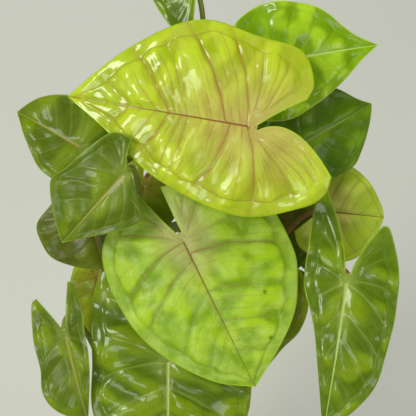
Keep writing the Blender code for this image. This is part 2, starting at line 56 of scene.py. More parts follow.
# What each point of a leaf stores for its materials; underside, the last, is 1 below.
LEAF_VALUES = ("vein_number", "vein_share", "vein_spacing", "vein_strength", "loop_distance",
               "edge_distance", "rib_distance", "tip_share", "raised", "underside")


def tone(*screen: int) -> Tone:
    """Scene-linear colour of a screen colour.

    Args:
        *screen: Red, green and blue from 0 to 255.

    Returns:
        The colour with full alpha.
    """
    shares = [value / 255 for value in screen]
    return (*(s / 12.92 if s < 0.04045 else ((s + 0.055) / 1.055) ** 2.4 for s in shares), 1.0)


class Rank(Enum):
    """How closely a leaf is seen, which sets how finely it is meshed.

    Each value holds the steps between two veins and the steps from rib to margin.
    """

    SHOWPIECE = (22, 44)
    FRONT = (15, 32)
    SIDE = (11, 22)
    BACK = (8, 16)


@dataclass(frozen=True)
class Signal:
    """Value that a node gives, with ordinary arithmetic on it."""

    patch: "Patch"
    socket: bpy.types.NodeSocket

    def __add__(self, other: object) -> "Signal":
        """The two added."""
        return self.patch.math("ADD", self, other)

    def __sub__(self, other: object) -> "Signal":
        """The other taken away."""
        return self.patch.math("SUBTRACT", self, other)

    def __mul__(self, other: object) -> "Signal":
        """The two multiplied."""
        return self.patch.math("MULTIPLY", self, other)

    def __truediv__(self, other: object) -> "Signal":
        """Divided by the other."""
        return self.patch.math("DIVIDE", self, other)

    def __abs__(self) -> "Signal":
        """Size without sign."""
        return self.patch.math("ABSOLUTE", self)

    def most(self, other: object) -> "Signal":
        """The larger of the two."""
        return self.patch.math("MAXIMUM", self, other)

    def step(self, low: float, high: float, start: float = 0.0, end: float = 1.0) -> "Signal":
        """Smooth step of the value.

        Args:
            low: Where the step starts.
            high: Where the step ends.
            start: Result at and before the start.
            end: Result at and past the end.

        Returns:
            The shaped value.
        """
        made = self.patch.node("ShaderNodeMapRange", interpolation_type="SMOOTHSTEP", clamp=True)
        for socket, item in zip(made.inputs, (self, low, high, start, end)):
            self.patch.feed(socket, item)
        return Signal(self.patch, made.outputs[0])


class Patch:
    """Node graph of one material, with short calls for the nodes it uses."""

    def __init__(self, name: str) -> None:
        """Makes the material.

        Args:
            name: Name of the material.
        """
        self.material = bpy.data.materials.new(name)
        self.material.use_nodes = True
        self.tree = self.material.node_tree
        self.shader = self.tree.nodes["Principled BSDF"]
        self.base: object = None

    def node(self, kind: str, **settings: object) -> bpy.types.Node:
        """Adds a node.

        Args:
            kind: Type name of the node.
            **settings: Properties to set on it.

        Returns:
            The node.
        """
        made = self.tree.nodes.new(kind)
        for key, value in settings.items():
            setattr(made, key, value)
        return made

    def feed(self, socket: bpy.types.NodeSocket, value: object) -> None:
        """Links a value into a socket, or sets the socket's own number or colour.

        Args:
            socket: The input to fill.
            value: A signal, a number or a colour.
        """
        if isinstance(value, Signal):
            self.tree.links.new(value.socket, socket)
        else:
            socket.default_value = value

    def stored(self, name: str, output: str = "Fac") -> Signal:
        """Value stored on the mesh under a name."""
        return Signal(self, self.node("ShaderNodeAttribute", attribute_name=name).outputs[output])

    def where(self) -> Signal:
        """Position on the plant."""
        return Signal(self, self.node("ShaderNodeNewGeometry").outputs["Position"])

    def math(self, operation: str, *values: object) -> Signal:
        """Arithmetic on values.

        Args:
            operation: Name of the operation.
            *values: What it works on.

        Returns:
            The result.
        """
        made = self.node("ShaderNodeMath", operation=operation)
        for socket, value in zip(made.inputs, values):
            self.feed(socket, value)
        return Signal(self, made.outputs[0])

    def blend(self, share: object, first: object, second: object) -> Signal:
        """Blend of two colours.

        Args:
            share: How much of the second colour.
            first: First colour.
            second: Second colour.

        Returns:
            The colour.
        """
        made = self.node("ShaderNodeMix", data_type="RGBA")
        for number, value in ((0, share), (6, first), (7, second)):
            self.feed(made.inputs[number], value)
        return Signal(self, made.outputs[2])

    def tint(self, colour: object, share: object) -> None:
        """Lays a share of a colour over the base colour."""
        self.base = self.blend(share, self.base, colour)

    def pattern(self, kind: str, output: str, vector: Signal, inputs: dict[str, float],
                **settings: object) -> Signal:
        """Procedural pattern.

        Args:
            kind: Type name of its node.
            output: The output it is read from.
            vector: Where the pattern is read.
            inputs: Numbers for its inputs.
            **settings: Properties of the node.

        Returns:
            The pattern's value.
        """
        made = self.node(kind, **settings)
        self.feed(made.inputs["Vector"], vector)
        for name, number in inputs.items():
            made.inputs[name].default_value = number
        return Signal(self, made.outputs[output])

    def grain(self, vector: Signal, scale: float, detail: float = 3.0,
              warp: float = 0.0) -> Signal:
        """Cloudy noise of so many clouds per metre, finer layers and distortion."""
        return self.pattern("ShaderNodeTexNoise", "Fac", vector, {
            "Scale": scale, "Detail": detail, "Roughness": 0.6, "Distortion": warp})

    def cells(self, vector: Signal, scale: float, feature: str = "F1") -> Signal:
        """Distance in a pattern of so many cells per metre."""
        return self.pattern("ShaderNodeTexVoronoi", "Distance", vector, {"Scale": scale},
                            feature=feature)

    def relief(self, height: Signal, depth: float, under: Optional[Signal] = None,
               strength: float = 1.0) -> Signal:
        """Bumped normal.

        Args:
            height: Height between 0 and 1.
            depth: Depth of the bump in metres.
            under: A normal to add to.
            strength: How strongly it shows.

        Returns:
            The normal.
        """
        made = self.node("ShaderNodeBump")
        made.inputs["Strength"].default_value = strength
        made.inputs["Distance"].default_value = depth
        self.feed(made.inputs["Height"], height)
        if under:
            self.feed(made.inputs["Normal"], under)
        return Signal(self, made.outputs["Normal"])

    def dress(self, plain: Tone, **inputs: object) -> None:
        """Fills the shader's inputs.

        Args:
            plain: Colour shown where materials aren't drawn.
            **inputs: Names of inputs, with _ for a space, and what each takes.
        """
        for name, value in inputs.items():
            self.feed(self.shader.inputs[name.replace("_", " ")], value)
        self.feed(self.shader.inputs["Base Color"], self.base)
        self.material.diffuse_color = plain


class Finish:
    """Surface finish that makes its material on first use."""

    name: str

    def material(self) -> bpy.types.Material:
        """Makes the material, or finds it made.

        Returns:
            The material.
        """
        if self.name not in bpy.data.materials:
            self.paint(Patch(self.name))
        return bpy.data.materials[self.name]

    def paint(self, p: Patch) -> None:
        """Fills the material's graph, each finish in its own way."""
        raise NotImplementedError


@dataclass(frozen=True)
class BladeFinish(Finish):
    """Colours, veins and gloss of a leaf blade."""

    name: str
    slot: str
    # crest and trough: lighter and darker flesh colours. Laid by the relief's height, they paint
    # light on the raised flesh and shade in the sunken troughs; they also tint random patches,
    # streaks and the vein net
    crest: Tone
    trough: Tone
    heart: Tone
    heart_reach: float
    vein: Tone
    midrib: Tone
    rim: Tone
    mottle: Tone
    mottle_share: float
    under: Tone
    vein_width: float = 0.7
    vein_share: float = 0.6
    minor_share: float = 0.2
    loop_share: float = 0.35
    blush: float = 0.0
    halo: float = 0.2
    roughness: float = 0.3
    coat: float = 0.5
    coat_roughness: float = 0.12
    relief: float = 0.0003
    fleck: float = 0.0
    dusty: float = 0.0
    # bloom: pale, greyer tint laid in streaks and in a band by the margin; partly the leaf's own
    # paler tint, partly painted sheen
    bloom: Tone = tone(140, 164, 60)
    bloom_and_sheen_share: float = 0.12
    band_share: float = 0.1

    def line(self, distance: Signal, width: object) -> Signal:
        """Soft-edged line, 1 at its middle and 0 past its width."""
        return (distance / width).step(1.0, 0.3)

    def off_vein(self, number: Signal, spacing: Signal) -> Signal:
        """Distance from the nearest whole vein number, in millimetres."""
        return abs(number.patch.math("FRACT", number + 0.5) - 0.5) * spacing

    def paint(self, p: Patch) -> None:
        """Paints mottled flesh with painted light and shade over its relief and partly painted
        sheen, veins, margin and underside, and sets the gloss.

        Args:
            p: The material's graph.
        """
        flat = p.stored("blade_flat", "Vector")
        vein, out, spacing, strength, loop, edge, rib, run, raised, below = [
            p.stored(name) for name in LEAF_VALUES]
        along = p.node("ShaderNodeCombineXYZ")
        p.feed(along.inputs[0], vein * 3.0)
        p.feed(along.inputs[1], out * 1.6)
        drawn = Signal(p, along.outputs[0])
        streak = p.grain(drawn, 1.4, 5, 0.4)
        hairs = p.grain(drawn, 7, 3, 0.2)
        cloud = p.grain(flat, 60, 4, 0.6)
        fine = p.grain(flat, 480)
        tissue = p.grain(flat, 1500, 2)

        # Painted light and shade: lighter colour on the raised flesh, darker in the sunken troughs,
        # set by the relief's height.
        p.base = p.blend(raised.step(-0.15, 0.75), self.trough, self.crest)
        patchy = p.grain(flat, 42, 5, 1).step(0.62 - 0.25 * self.mottle_share, 0.7)
        p.tint(self.mottle, patchy * self.mottle_share)
        p.tint(self.crest, cloud.step(0.4, 0.75, 0, 0.3))
        p.tint(self.trough, hairs.step(0.45, 0.75, 0, 0.22))
        # Pale streaks along the veins and a pale band by the margin: partly the leaf's paler tint,
        # partly painted sheen.
        bloom_and_sheen_veil = p.grain(flat, 95, 8, 0.7).step(0.42, 0.64) * hairs.step(0.3, 0.6, 0.35)
        p.tint(self.bloom, bloom_and_sheen_veil * self.bloom_and_sheen_share)
        band = loop.step(2.4, -4.4) * cloud.step(0.35, 0.62, 0.25)
        p.tint(self.bloom, band * self.band_share)
        p.tint(self.trough, tissue.step(0.38, 0.62, 0, 0.16))
        p.tint(self.heart, run.step(self.heart_reach, 0) * fine.step(0.2, 0.8, 0.7))
        warm = streak.step(0.42, 0.68) * run.step(0.95, 0.25, 0, self.blush)
        p.tint(self.vein, warm * loop.step(0, 2.5, 0.6))

        main = self.off_vein(vein, spacing)
        minor = self.off_vein(vein * 3.0, spacing) * 0.3333
        p.tint(self.vein, main.step(3.4 * self.vein_width, 0) * self.halo * strength)
        net = p.cells(flat, 300, "DISTANCE_TO_EDGE").step(0.09, 0)
        p.tint(self.trough, net * 0.09)
        width = out.step(1, 0, 0.4 * self.vein_width, self.vein_width)
        within = loop.step(-1.4, 0.4)
        laterals = self.line(main, width) * strength * within * self.vein_share
        minors = self.line(minor, width * 0.8) * spacing.step(4, 9) * within * streak.step(
            0.3, 0.6, 0.3 * self.minor_share, self.minor_share)
        round_edge = self.line(abs(loop), 0.75 * self.vein_width) * vein.step(
            0.9, 2.4, 0, self.loop_share)
        lines = laterals.most(minors).most(round_edge)
        p.tint(self.vein, lines)
        broad = run.step(1, 0, 0.3 * self.vein_width, 1.15 * self.vein_width)
        midrib = self.line(rib, broad) * vein.step(2.4, 3)
        p.tint(self.midrib, midrib * 0.9)
        if self.fleck:
            p.tint(tone(60, 55, 20), p.cells(flat, 46).step(0.07, 0.03) * self.fleck)
        p.tint(self.rim, edge.step(0.8, 0.1, 0, 0.8))
        marks = lines.most(midrib)
        p.tint(p.blend(marks * 0.6, self.under, self.rim), below)

        rough = p.grain(flat, 120, 4, 0.5).step(0.3, 0.75, self.roughness - 0.06,
                                                self.roughness + 0.14)
        wax = self.coat
        if self.dusty:
            heel = run.step(0.72, 0.25, 0, self.dusty) * edge.step(2, 7)
            rough = rough + heel * 0.3
            wax = p.math("SUBTRACT", 1.0, heel) * self.coat
        pucker = p.relief(p.grain(flat, 120, 2, 0.6), self.relief, strength=0.8)
        skin = hairs * 0.5 - net * 0.25 + (fine + tissue) * 0.3 - marks * 0.8
        p.dress(self.crest, Roughness=p.math("MINIMUM", rough + below * 0.25, 1.0),
                Normal=p.relief(skin, 0.00016, pucker, 0.8), Specular_IOR_Level=0.16,
                Coat_Weight=wax, Coat_Roughness=self.coat_roughness,
                Subsurface_Weight=0.1, Subsurface_Radius=(0.6, 1.0, 0.1),
                Subsurface_Scale=0.0015)


@dataclass(frozen=True)
class StalkFinish(Finish):
    """Colours of a leaf stalk, from the blade down to its pale sheath."""

    name: str
    top: Tone
    middle: Tone
    foot: Tone

    def paint(self, p: Patch) -> None:
        """Paints the stalk's colours, long streaks and small dots.

        Args:
            p: The material's graph.
        """
        run = p.stored("tip_share")
        flat = p.stored("blade_flat", "Vector")
        drawn = p.pattern("ShaderNodeMapping", "Vector", flat, {"Scale": (1.0, 9.0, 1.0)})
        streak = p.grain(drawn, 120, 4)
        p.base = p.blend(run.step(0, 0.45), self.top, self.middle)
        p.tint(self.foot, run.step(0.55, 0.95))
        p.tint(self.foot, streak.step(0.45, 0.7, 0, 0.35))
        p.tint(self.top, p.cells(flat, 520).step(0.18, 0.08) * 0.25)
        p.dress(self.middle, Roughness=streak.step(0.3, 0.7, 0.32, 0.5),
                Normal=p.relief(streak, 0.0002), Subsurface_Weight=0.1,
                Subsurface_Scale=0.001)


@dataclass(frozen=True)
class SoilFinish(Finish):
    """Dark crumbly potting soil with paler fibres."""

    name: str = "crumbly_soil"
    dark: Tone = tone(38, 29, 22)
    light: Tone = tone(96, 74, 54)
    warm: Tone = tone(62, 40, 24)

    def paint(self, p: Patch) -> None:
        """Paints lumps and warmer patches.

        Args:
            p: The material's graph.
        """
        lumps = p.grain(p.where(), 340, 8, 0.4)
        p.base = p.blend(lumps.step(0.35, 0.72), self.dark, self.light)
        p.tint(self.warm, p.grain(p.where(), 90, 5).step(0.55, 0.75, 0, 0.5))
        p.dress(self.dark, Roughness=lumps.step(0.3, 0.7, 0.97, 0.78),
                Normal=p.relief(lumps, 0.0012))


@dataclass(frozen=True)
class CrumbFinish(Finish):
    """Loose bits on the soil: bark, clods and pale grit."""

    name: str
    body: Tone
    vary: Tone
    roughness: float

    def paint(self, p: Patch) -> None:
        """Paints the bits in two colours.

        Args:
            p: The material's graph.
        """
        coarse = p.grain(p.where(), 900, 5)
        p.base = p.blend(coarse.step(0.35, 0.7), self.body, self.vary)
        p.tint(self.body, p.grain(p.where(), 150).step(0.5, 0.7, 0, 0.4))
        p.dress(self.body, Roughness=coarse.step(0.3, 0.7, self.roughness, 0.98),
                Normal=p.relief(coarse, 0.0004))


@dataclass(frozen=True)
class ClayFinish(Finish):
    """Fired clay with faint turning lines, darker damp patches and chalky bloom."""

    name: str = "fired_clay"
    body: Tone = tone(186, 104, 70)
    deep: Tone = tone(150, 76, 50)
    bloom: Tone = tone(214, 178, 154)

    def paint(self, p: Patch) -> None:
        """Paints damp patches, grit, chalk towards the foot, pits and turning lines.

        Args:
            p: The material's graph.
        """
        where = p.where()
        split = p.node("ShaderNodeSeparateXYZ")
        p.feed(split.inputs[0], where)
        height = Signal(p, split.outputs[2])
        cloud = p.grain(where, 26, 6, 0.5)
        grit = p.grain(where, 1300, 4)
        pits = p.cells(where, 420).step(0.2, 0.06)
        turning = p.math("SINE", (height + cloud * 0.002) * 2900.0)
        p.base = p.blend(cloud.step(0.35, 0.7), self.deep, self.body)
        p.tint(self.bloom, grit.step(0.4, 0.7, 0, 0.3))
        chalk = p.grain(where, 60, 7, 0.8).step(0.5, 0.72)
        p.tint(self.bloom, chalk * height.step(0.05, 0, 0.12, 0.7))
        p.tint(self.deep, pits * 0.35)
        lines = p.relief(turning * 0.25 + grit, 0.00025)
        p.dress(self.body, Roughness=cloud.step(0.3, 0.7, 0.72, 0.92),
                Normal=p.relief(pits, -0.0004, lines), Specular_IOR_Level=0.3)


STALK_GREEN = StalkFinish("stalk_green", tone(150, 160, 70), tone(128, 152, 58),
                          tone(186, 190, 120))
STALK_RED = StalkFinish("stalk_red", tone(150, 96, 62), tone(140, 112, 60), tone(186, 176, 112))
LIME_CROWN = BladeFinish(
    "blade_lime_crown", "lime_leaf", crest=tone(170, 192, 30), trough=tone(142, 162, 12),
    heart=tone(172, 160, 88), heart_reach=0.62, vein=tone(140, 98, 48), midrib=tone(122, 70, 32),
    rim=tone(150, 190, 14), mottle=tone(146, 186, 8), mottle_share=0.4, under=tone(170, 186, 70),
    vein_width=0.6, vein_share=0.75, minor_share=0.4, loop_share=0.42, blush=0.42, halo=0.25,
    roughness=0.34, coat=0.55, coat_roughness=0.1, relief=0.00045, dusty=0.9,
    bloom=tone(182, 186, 80), bloom_and_sheen_share=0.3, band_share=0.1)
# The heart leaf's strong pale bloom is partly painted sheen.
LIME_HEART = replace(
    LIME_CROWN, name="blade_lime_heart", crest=tone(150, 184, 24), trough=tone(104, 140, 0),
    heart=tone(160, 158, 98), heart_reach=0.42, vein=tone(128, 108, 56), midrib=tone(112, 80, 42),
    rim=tone(150, 190, 30), mottle=tone(92, 136, 0), mottle_share=0.65, under=tone(150, 174, 70),
    vein_width=0.62, vein_share=0.7, minor_share=0.3, loop_share=0.25, blush=0.15, halo=0.15,
    roughness=0.5, coat=0.12, coat_roughness=0.25, relief=0.0003, fleck=0.6, dusty=0.0,
    bloom=tone(172, 196, 96), bloom_and_sheen_share=0.46, band_share=0.34)
GREEN_GLOSSY = BladeFinish(
    "blade_green_glossy", "green_leaf", crest=tone(112, 138, 0), trough=tone(72, 98, 0),
    heart=tone(124, 148, 50), heart_reach=0.25, vein=tone(146, 168, 74), midrib=tone(160, 178, 92),
    rim=tone(140, 166, 50), mottle=tone(70, 100, 0), mottle_share=0.6, under=tone(134, 156, 70),
    vein_width=1.05, vein_share=0.4, minor_share=0.1, loop_share=0.15, halo=0.12, roughness=0.4,
    coat=0.4, coat_roughness=0.12)
GREEN_MID = replace(
    GREEN_GLOSSY, name="blade_green_mid", crest=tone(108, 130, 0), trough=tone(70, 92, 0),
    heart=tone(110, 128, 40), vein=tone(128, 142, 60), midrib=tone(138, 138, 64),
    rim=tone(130, 150, 50), mottle=tone(70, 96, 0), under=tone(134, 150, 74), vein_share=0.35,
    minor_share=0.08, loop_share=0.1, roughness=0.44, coat=0.22, coat_roughness=0.18)
GREEN_DARK = replace(
    GREEN_GLOSSY, name="blade_green_dark", crest=tone(102, 136, 4), trough=tone(68, 100, 0),
    heart=tone(88, 110, 26), vein=tone(112, 134, 50), midrib=tone(124, 142, 60),
    rim=tone(112, 138, 36), mottle=tone(62, 92, 0), mottle_share=0.5, under=tone(118, 138, 64),
    vein_share=0.35, minor_share=0.08, loop_share=0.1, halo=0.1, roughness=0.42, coat=0.25,
    coat_roughness=0.16)
GREEN_BRIGHT = replace(
    GREEN_GLOSSY, name="blade_green_bright", crest=tone(160, 196, 34), trough=tone(108, 146, 0),
    heart=tone(150, 180, 50), heart_reach=0.3, vein=tone(140, 172, 40), midrib=tone(176, 200, 96),
    rim=tone(180, 206, 80), mottle=tone(104, 146, 0), mottle_share=0.45, under=tone(150, 176, 76),
    minor_share=0.12, loop_share=0.2, roughness=0.3, coat=0.55, coat_roughness=0.1)
PALE_PINK = BladeFinish(
    "blade_pale_pink", "lime_leaf", crest=tone(186, 202, 74), trough=tone(156, 180, 34),
    heart=tone(184, 172, 96), heart_reach=0.7, vein=tone(138, 112, 54), midrib=tone(130, 96, 46),
    rim=tone(156, 176, 60), mottle=tone(122, 146, 14), mottle_share=0.35, under=tone(150, 166, 80),
    vein_share=0.5, minor_share=0.15, blush=0.3, roughness=0.5, coat=0.12, coat_roughness=0.25)
# Lighter copy of the olive finish: its brighter colours are painted light for the inner leaves that
# sit in the plant's shade.
OLIVE_BRIGHT = BladeFinish(
    "blade_olive_bright", "olive_leaf", crest=tone(150, 168, 26), trough=tone(116, 136, 4),
    heart=tone(146, 140, 50), heart_reach=0.4, vein=tone(140, 104, 46), midrib=tone(134, 92, 42),
    rim=tone(150, 164, 50), mottle=tone(110, 134, 0), mottle_share=0.45, under=tone(140, 154, 70),
    vein_share=0.5, minor_share=0.15, loop_share=0.2, blush=0.3, roughness=0.42, coat=0.25,
    coat_roughness=0.16)
OLIVE_DEEP = replace(
    OLIVE_BRIGHT, name="blade_olive_deep", crest=tone(90, 106, 6), trough=tone(64, 78, 0),
    heart=tone(104, 104, 30), vein=tone(118, 96, 42), midrib=tone(118, 92, 40),
    rim=tone(112, 126, 30), mottle=tone(74, 90, 0), mottle_share=0.4, under=tone(116, 130, 58),
    vein_share=0.4, minor_share=0.1, loop_share=0.1, blush=0.2, roughness=0.48, coat=0.15,
    coat_roughness=0.2)


def plain_half(length: float, width: float) -> Margin:
    """Margin of an ordinary half blade, from the inner corner of its lobe to the tip.

    Args:
        length: From the junction to the tip.
        width: Greatest width of the half.

    Returns:
        Points along and out from the midrib.
    """
    shares = ((-0.26, 0.13), (-0.33, 0.33), (-0.30, 0.6), (-0.13, 0.89), (0.08, 1),
              (0.3, 0.92), (0.56, 0.6), (0.8, 0.22), (0.93, 0.06), (1, 0))
    return [(length * along, width * out) for along, out in shares]


def ribs(starts: tuple[float, ...], ends: tuple[float, ...],
         shown: tuple[float, ...]) -> Ribbing:
    """Layout of the veins in half a blade, from the sinus to the tip.

    Args:
        starts: Shares of the midrib where the veins leave it.
        ends: Shares of the margin where they end.
        shown: How strongly each is marked.

    Returns:
        The three rows with those of the sinus edge and of the tip added.
    """
    return (np.array((0, 0, 0, 0) + starts + (1,)), np.array((0,) + ends + (1,)),
            np.array((0,) + shown + (0,)))


ORDINARY_RIBS = ribs((0.17, 0.35, 0.54, 0.75), (0.15, 0.31, 0.48, 0.62, 0.74, 0.84, 0.93),
                     (0.4, 0.5, 0.7, 0.6, 0.45, 0.3, 0.2))
CROWN_LEFT = ribs((0.089, 0.324, 0.425, 0.651), (0.06, 0.158, 0.306, 0.514, 0.596, 0.713, 0.844),
                  (0.35, 0.5, 0.9, 1, 0.6, 0.9, 0.4))
CROWN_RIGHT = ribs((0.116, 0.325, 0.421, 0.641), (0.20, 0.302, 0.415, 0.55, 0.641, 0.743, 0.881),
                   (0.5, 0.5, 0.8, 1, 0.4, 0.8, 0.4))
HEART_LEFT = ribs((0.08, 0.334, 0.539, 0.739), (0.09, 0.174, 0.408, 0.516, 0.647, 0.75, 0.865),
                  (0.6, 0.5, 0.15, 1, 0.35, 0.3, 0.3))
HEART_RIGHT = ribs((0.128, 0.336, 0.539, 0.75), (0.085, 0.193, 0.46, 0.593, 0.738, 0.841, 0.92),
                   (0.5, 0.5, 1, 0.7, 0.35, 0.15, 0.1))


@dataclass
class LeafForm:
    """One leaf: where its blade joins the stalk, its heading, pitch and roll, and its outline."""

    name: str
    finish: BladeFinish
    at: Spot
    turns: Spot
    foot: tuple[float, float]
    left: Margin
    right: Margin
    rank: Rank = Rank.FRONT
    stalk: StalkFinish = STALK_GREEN
    inner: tuple[float, float] = (1.5, 1.5)
    ribs_left: Ribbing = ORDINARY_RIBS
    ribs_right: Ribbing = ORDINARY_RIBS
    pillow: float = 0.24
    crimp: float = 0.03
    swell: float = 0.34
    droop: float = 20
    dip: float = 10
    fold: float = 6
    curl: float = -15
    wave: float = 1
    waves: float = 2
    phase: float = 0
    tuck: float = 60
    lead: float = 45
    rise: float = 115

    @property
    def length(self) -> float:
        """From the junction to the tip."""
        return self.left[-1][0]

    @property
    def back(self) -> float:
        """How far the lobes reach behind the junction."""
        return max(-self.left[0][0], -self.right[0][0])

    @property
    def stalk_top(self) -> float:
        """Radius of the stalk under the blade."""
        return 1.0 + 0.006 * self.length

    def outline(self, side: int) -> Margin:
        """Margin of one half, 1 for the left and -1 for the right."""
        return self.left if side > 0 else self.right

    def ribbing(self, side: int) -> Ribbing:
        """Vein layout of one half, 1 for the left and -1 for the right."""
        return self.ribs_left if side > 0 else self.ribs_right


def plain_leaf(name: str, finish: BladeFinish, at: Spot, turns: tuple[float, float],
               foot: tuple[float, float], size: Spot, phase: float, rank: Rank = Rank.BACK,
               **stalk: float) -> LeafForm:
    """Ordinary leaf of the sides, the back and the foot of the plant.

    Args:
        name: Name of its node.
        finish: Its finish.
        at: Where its blade joins the stalk.
        turns: Its heading and pitch.
        foot: Where its stalk enters the soil.
        size: Length of its blade, and the widths of its halves.
        phase: Phase of the wave in its margin.
        rank: How finely it is meshed.
        **stalk: Other fields that shape its stalk.

    Returns:
        The leaf's form.
    """
    length, left, right = size
    return LeafForm(name, finish, at, (*turns, 0), foot, plain_half(length, left),
                    plain_half(length, right), rank, phase=phase, **stalk)


def length_along(line: Points) -> Points:
    """Length run at each point of a line."""
    return np.concatenate([[0], np.cumsum(np.linalg.norm(np.diff(line, axis=0), axis=1))])


@dataclass
class BladeSurface:
    """Curved surface of a leaf, addressed by vein number and share of the way to the margin."""

    leaf: LeafForm
    collar: float = 2.6
    collar_open: float = 152.0
    tip_vein: int = 8
    basal_vein: int = 3
    vein_bend: float = 16.0
    arch: float = 1.3

    def smooth_line(self, points: Margin, steps: int = 24) -> Points:
        """Catmull-Rom curve through the points.

        Args:
            points: The points it passes through.
            steps: Steps in each span.

        Returns:
            Points along the curve.
        """
        p = np.array(points, float)
        p = np.vstack([2 * p[0] - p[1], p, 2 * p[-1] - p[-2]])
        t = np.linspace(0, 1, steps, endpoint=False)[:, None]
        spans = [0.5 * (2 * b + (c - a) * t + (2 * a - 5 * b + 4 * c - d) * t ** 2
                        + (3 * b - a - 3 * c + d) * t ** 3)
                 for a, b, c, d in zip(p[:-3], p[1:-2], p[2:-1], p[3:])]
        return np.vstack(spans + [p[-2][None]])

    def at_share(self, line: Points, share: Points) -> Points:
        """Points at the given shares of a line's length.

        Args:
            line: Points along the line.
            share: Shares from 0 to 1.

        Returns:
            The points.
        """
        run = length_along(line)
        run /= run[-1]
        return np.stack([np.interp(share, run, line[:, 0]), np.interp(share, run, line[:, 1])], -1)

    def flat(self, side: int, vein: Points, out: Points) -> Points:
        """Flat blade position.

        Args:
            side: 1 for the left half and -1 for the right.
            vein: Vein numbers, from 0 at the sinus to 8 at the tip.
            out: Shares of the way from the rib to the margin.

        Returns:
            Points along and out from the midrib.
        """
        points = self.leaf.outline(side)
        numbers = np.arange(self.tip_vein + 1)
        starts, ends, _ = self.leaf.ribbing(side)
        end = self.at_share(self.smooth_line(points), np.interp(vein, numbers, ends))
        share = np.interp(vein, numbers, starts)
        angle = math.radians(self.collar_open) * np.clip(1 - vein / self.basal_vein, 0, 1)
        start = np.stack([self.collar * np.cos(angle) + share * (self.leaf.length - self.collar),
                          self.collar * np.sin(angle)], -1)
        ahead, aside = np.moveaxis(end - start, -1, 0)
        turn = math.radians(self.vein_bend) * (1 - share)
        bent = np.stack([ahead * np.cos(turn) - aside * np.sin(turn),
                         ahead * np.sin(turn) + aside * np.cos(turn)], -1)
        sinus = np.array([0.45 * points[0][0], self.leaf.inner[0 if side > 0 else 1]])
        near = np.clip(1 - vein / 1.2, 0, 1)[..., None]
        near = near * near * (3 - 2 * near)
        control = (start + 0.5 * bent) * (1 - near) + sinus * near
        t = out[..., None]
        return (1 - t) ** 2 * start + 2 * t * (1 - t) * control + t * t * end

    def arched(self, along: Points) -> tuple[Points, Points, Points]:
        """Droop of the midrib.

        Args:
            along: Distances along the flat blade.

        Returns:
            Distance forward, height and slope.
        """
        leaf = self.leaf
        bend = math.radians(leaf.droop)
        g = np.linspace(0, 1.15, 60)
        slope = bend * ((g[1:] + g[:-1]) / 2) ** self.arch
        step = np.diff(g) * leaf.length
        ahead = np.concatenate([[0], np.cumsum(np.cos(slope) * step)])
        drop = np.concatenate([[0], np.cumsum(np.sin(slope) * step)])
        share = np.clip(along / leaf.length, 0, None)
        dip = math.radians(leaf.dip)
        behind = dip * np.clip(-along / leaf.back, 0, None)
        x = np.where(along >= 0, np.interp(share, g, ahead), -np.sin(behind) / dip * leaf.back)
        z = np.where(along >= 0, -np.interp(share, g, drop),
                     -(1 - np.cos(behind)) / dip * leaf.back)
        return x, z, np.where(along >= 0, bend * share ** self.arch, -behind)

    def curved(self, side: int, flat: Points) -> Points:
        """Flat blade points carried to the leaf's own curved surface.

        Args:
            side: 1 for the left half and -1 for the right.
            flat: Flat points.

        Returns:
            Points in the leaf's frame.
        """
        leaf = self.leaf
        along = flat[..., 0]
        out = flat[..., 1]
        wide = max(p[1] for p in leaf.outline(side))
        first = math.radians(leaf.fold)
        rate = math.radians(leaf.curl) / wide
        far = np.abs(out)
        reach = (np.sin(first + rate * far) - math.sin(first)) / rate * np.sign(out)
        lift = (math.cos(first) - np.cos(first + rate * far)) / rate * (out > 0)
        turn = 2 * math.pi * (leaf.waves * along / leaf.length + leaf.phase
                              + (0 if side > 0 else 0.31))
        lift = lift + leaf.wave * (far / wide) ** 2 * np.sin(turn)
        x, z, slope = self.arched(along)
        return np.stack([x + lift * np.sin(slope), side * reach, z + lift * np.cos(slope)], -1)

    def axes(self) -> Points:
        """World directions of the blade.

        Returns:
            Rows that point to the tip, to the left and out of the upper face.
        """
        heading, pitch, roll = (math.radians(angle) for angle in self.leaf.turns)
        ahead = Vector((math.cos(pitch) * math.cos(heading), math.cos(pitch) * math.sin(heading),
                        math.sin(pitch)))
        level = Vector((-math.sin(heading), math.cos(heading), 0))
        raised = ahead.cross(level)
        left = level * math.cos(roll) + raised * math.sin(roll)
        up = raised * math.cos(roll) - level * math.sin(roll)
        return np.array([ahead, left, up])

    def to_world(self, local: Points) -> Points:
        """Points of the leaf's frame in the plant's frame."""
        return np.array(self.leaf.at, float) + local @ self.axes()


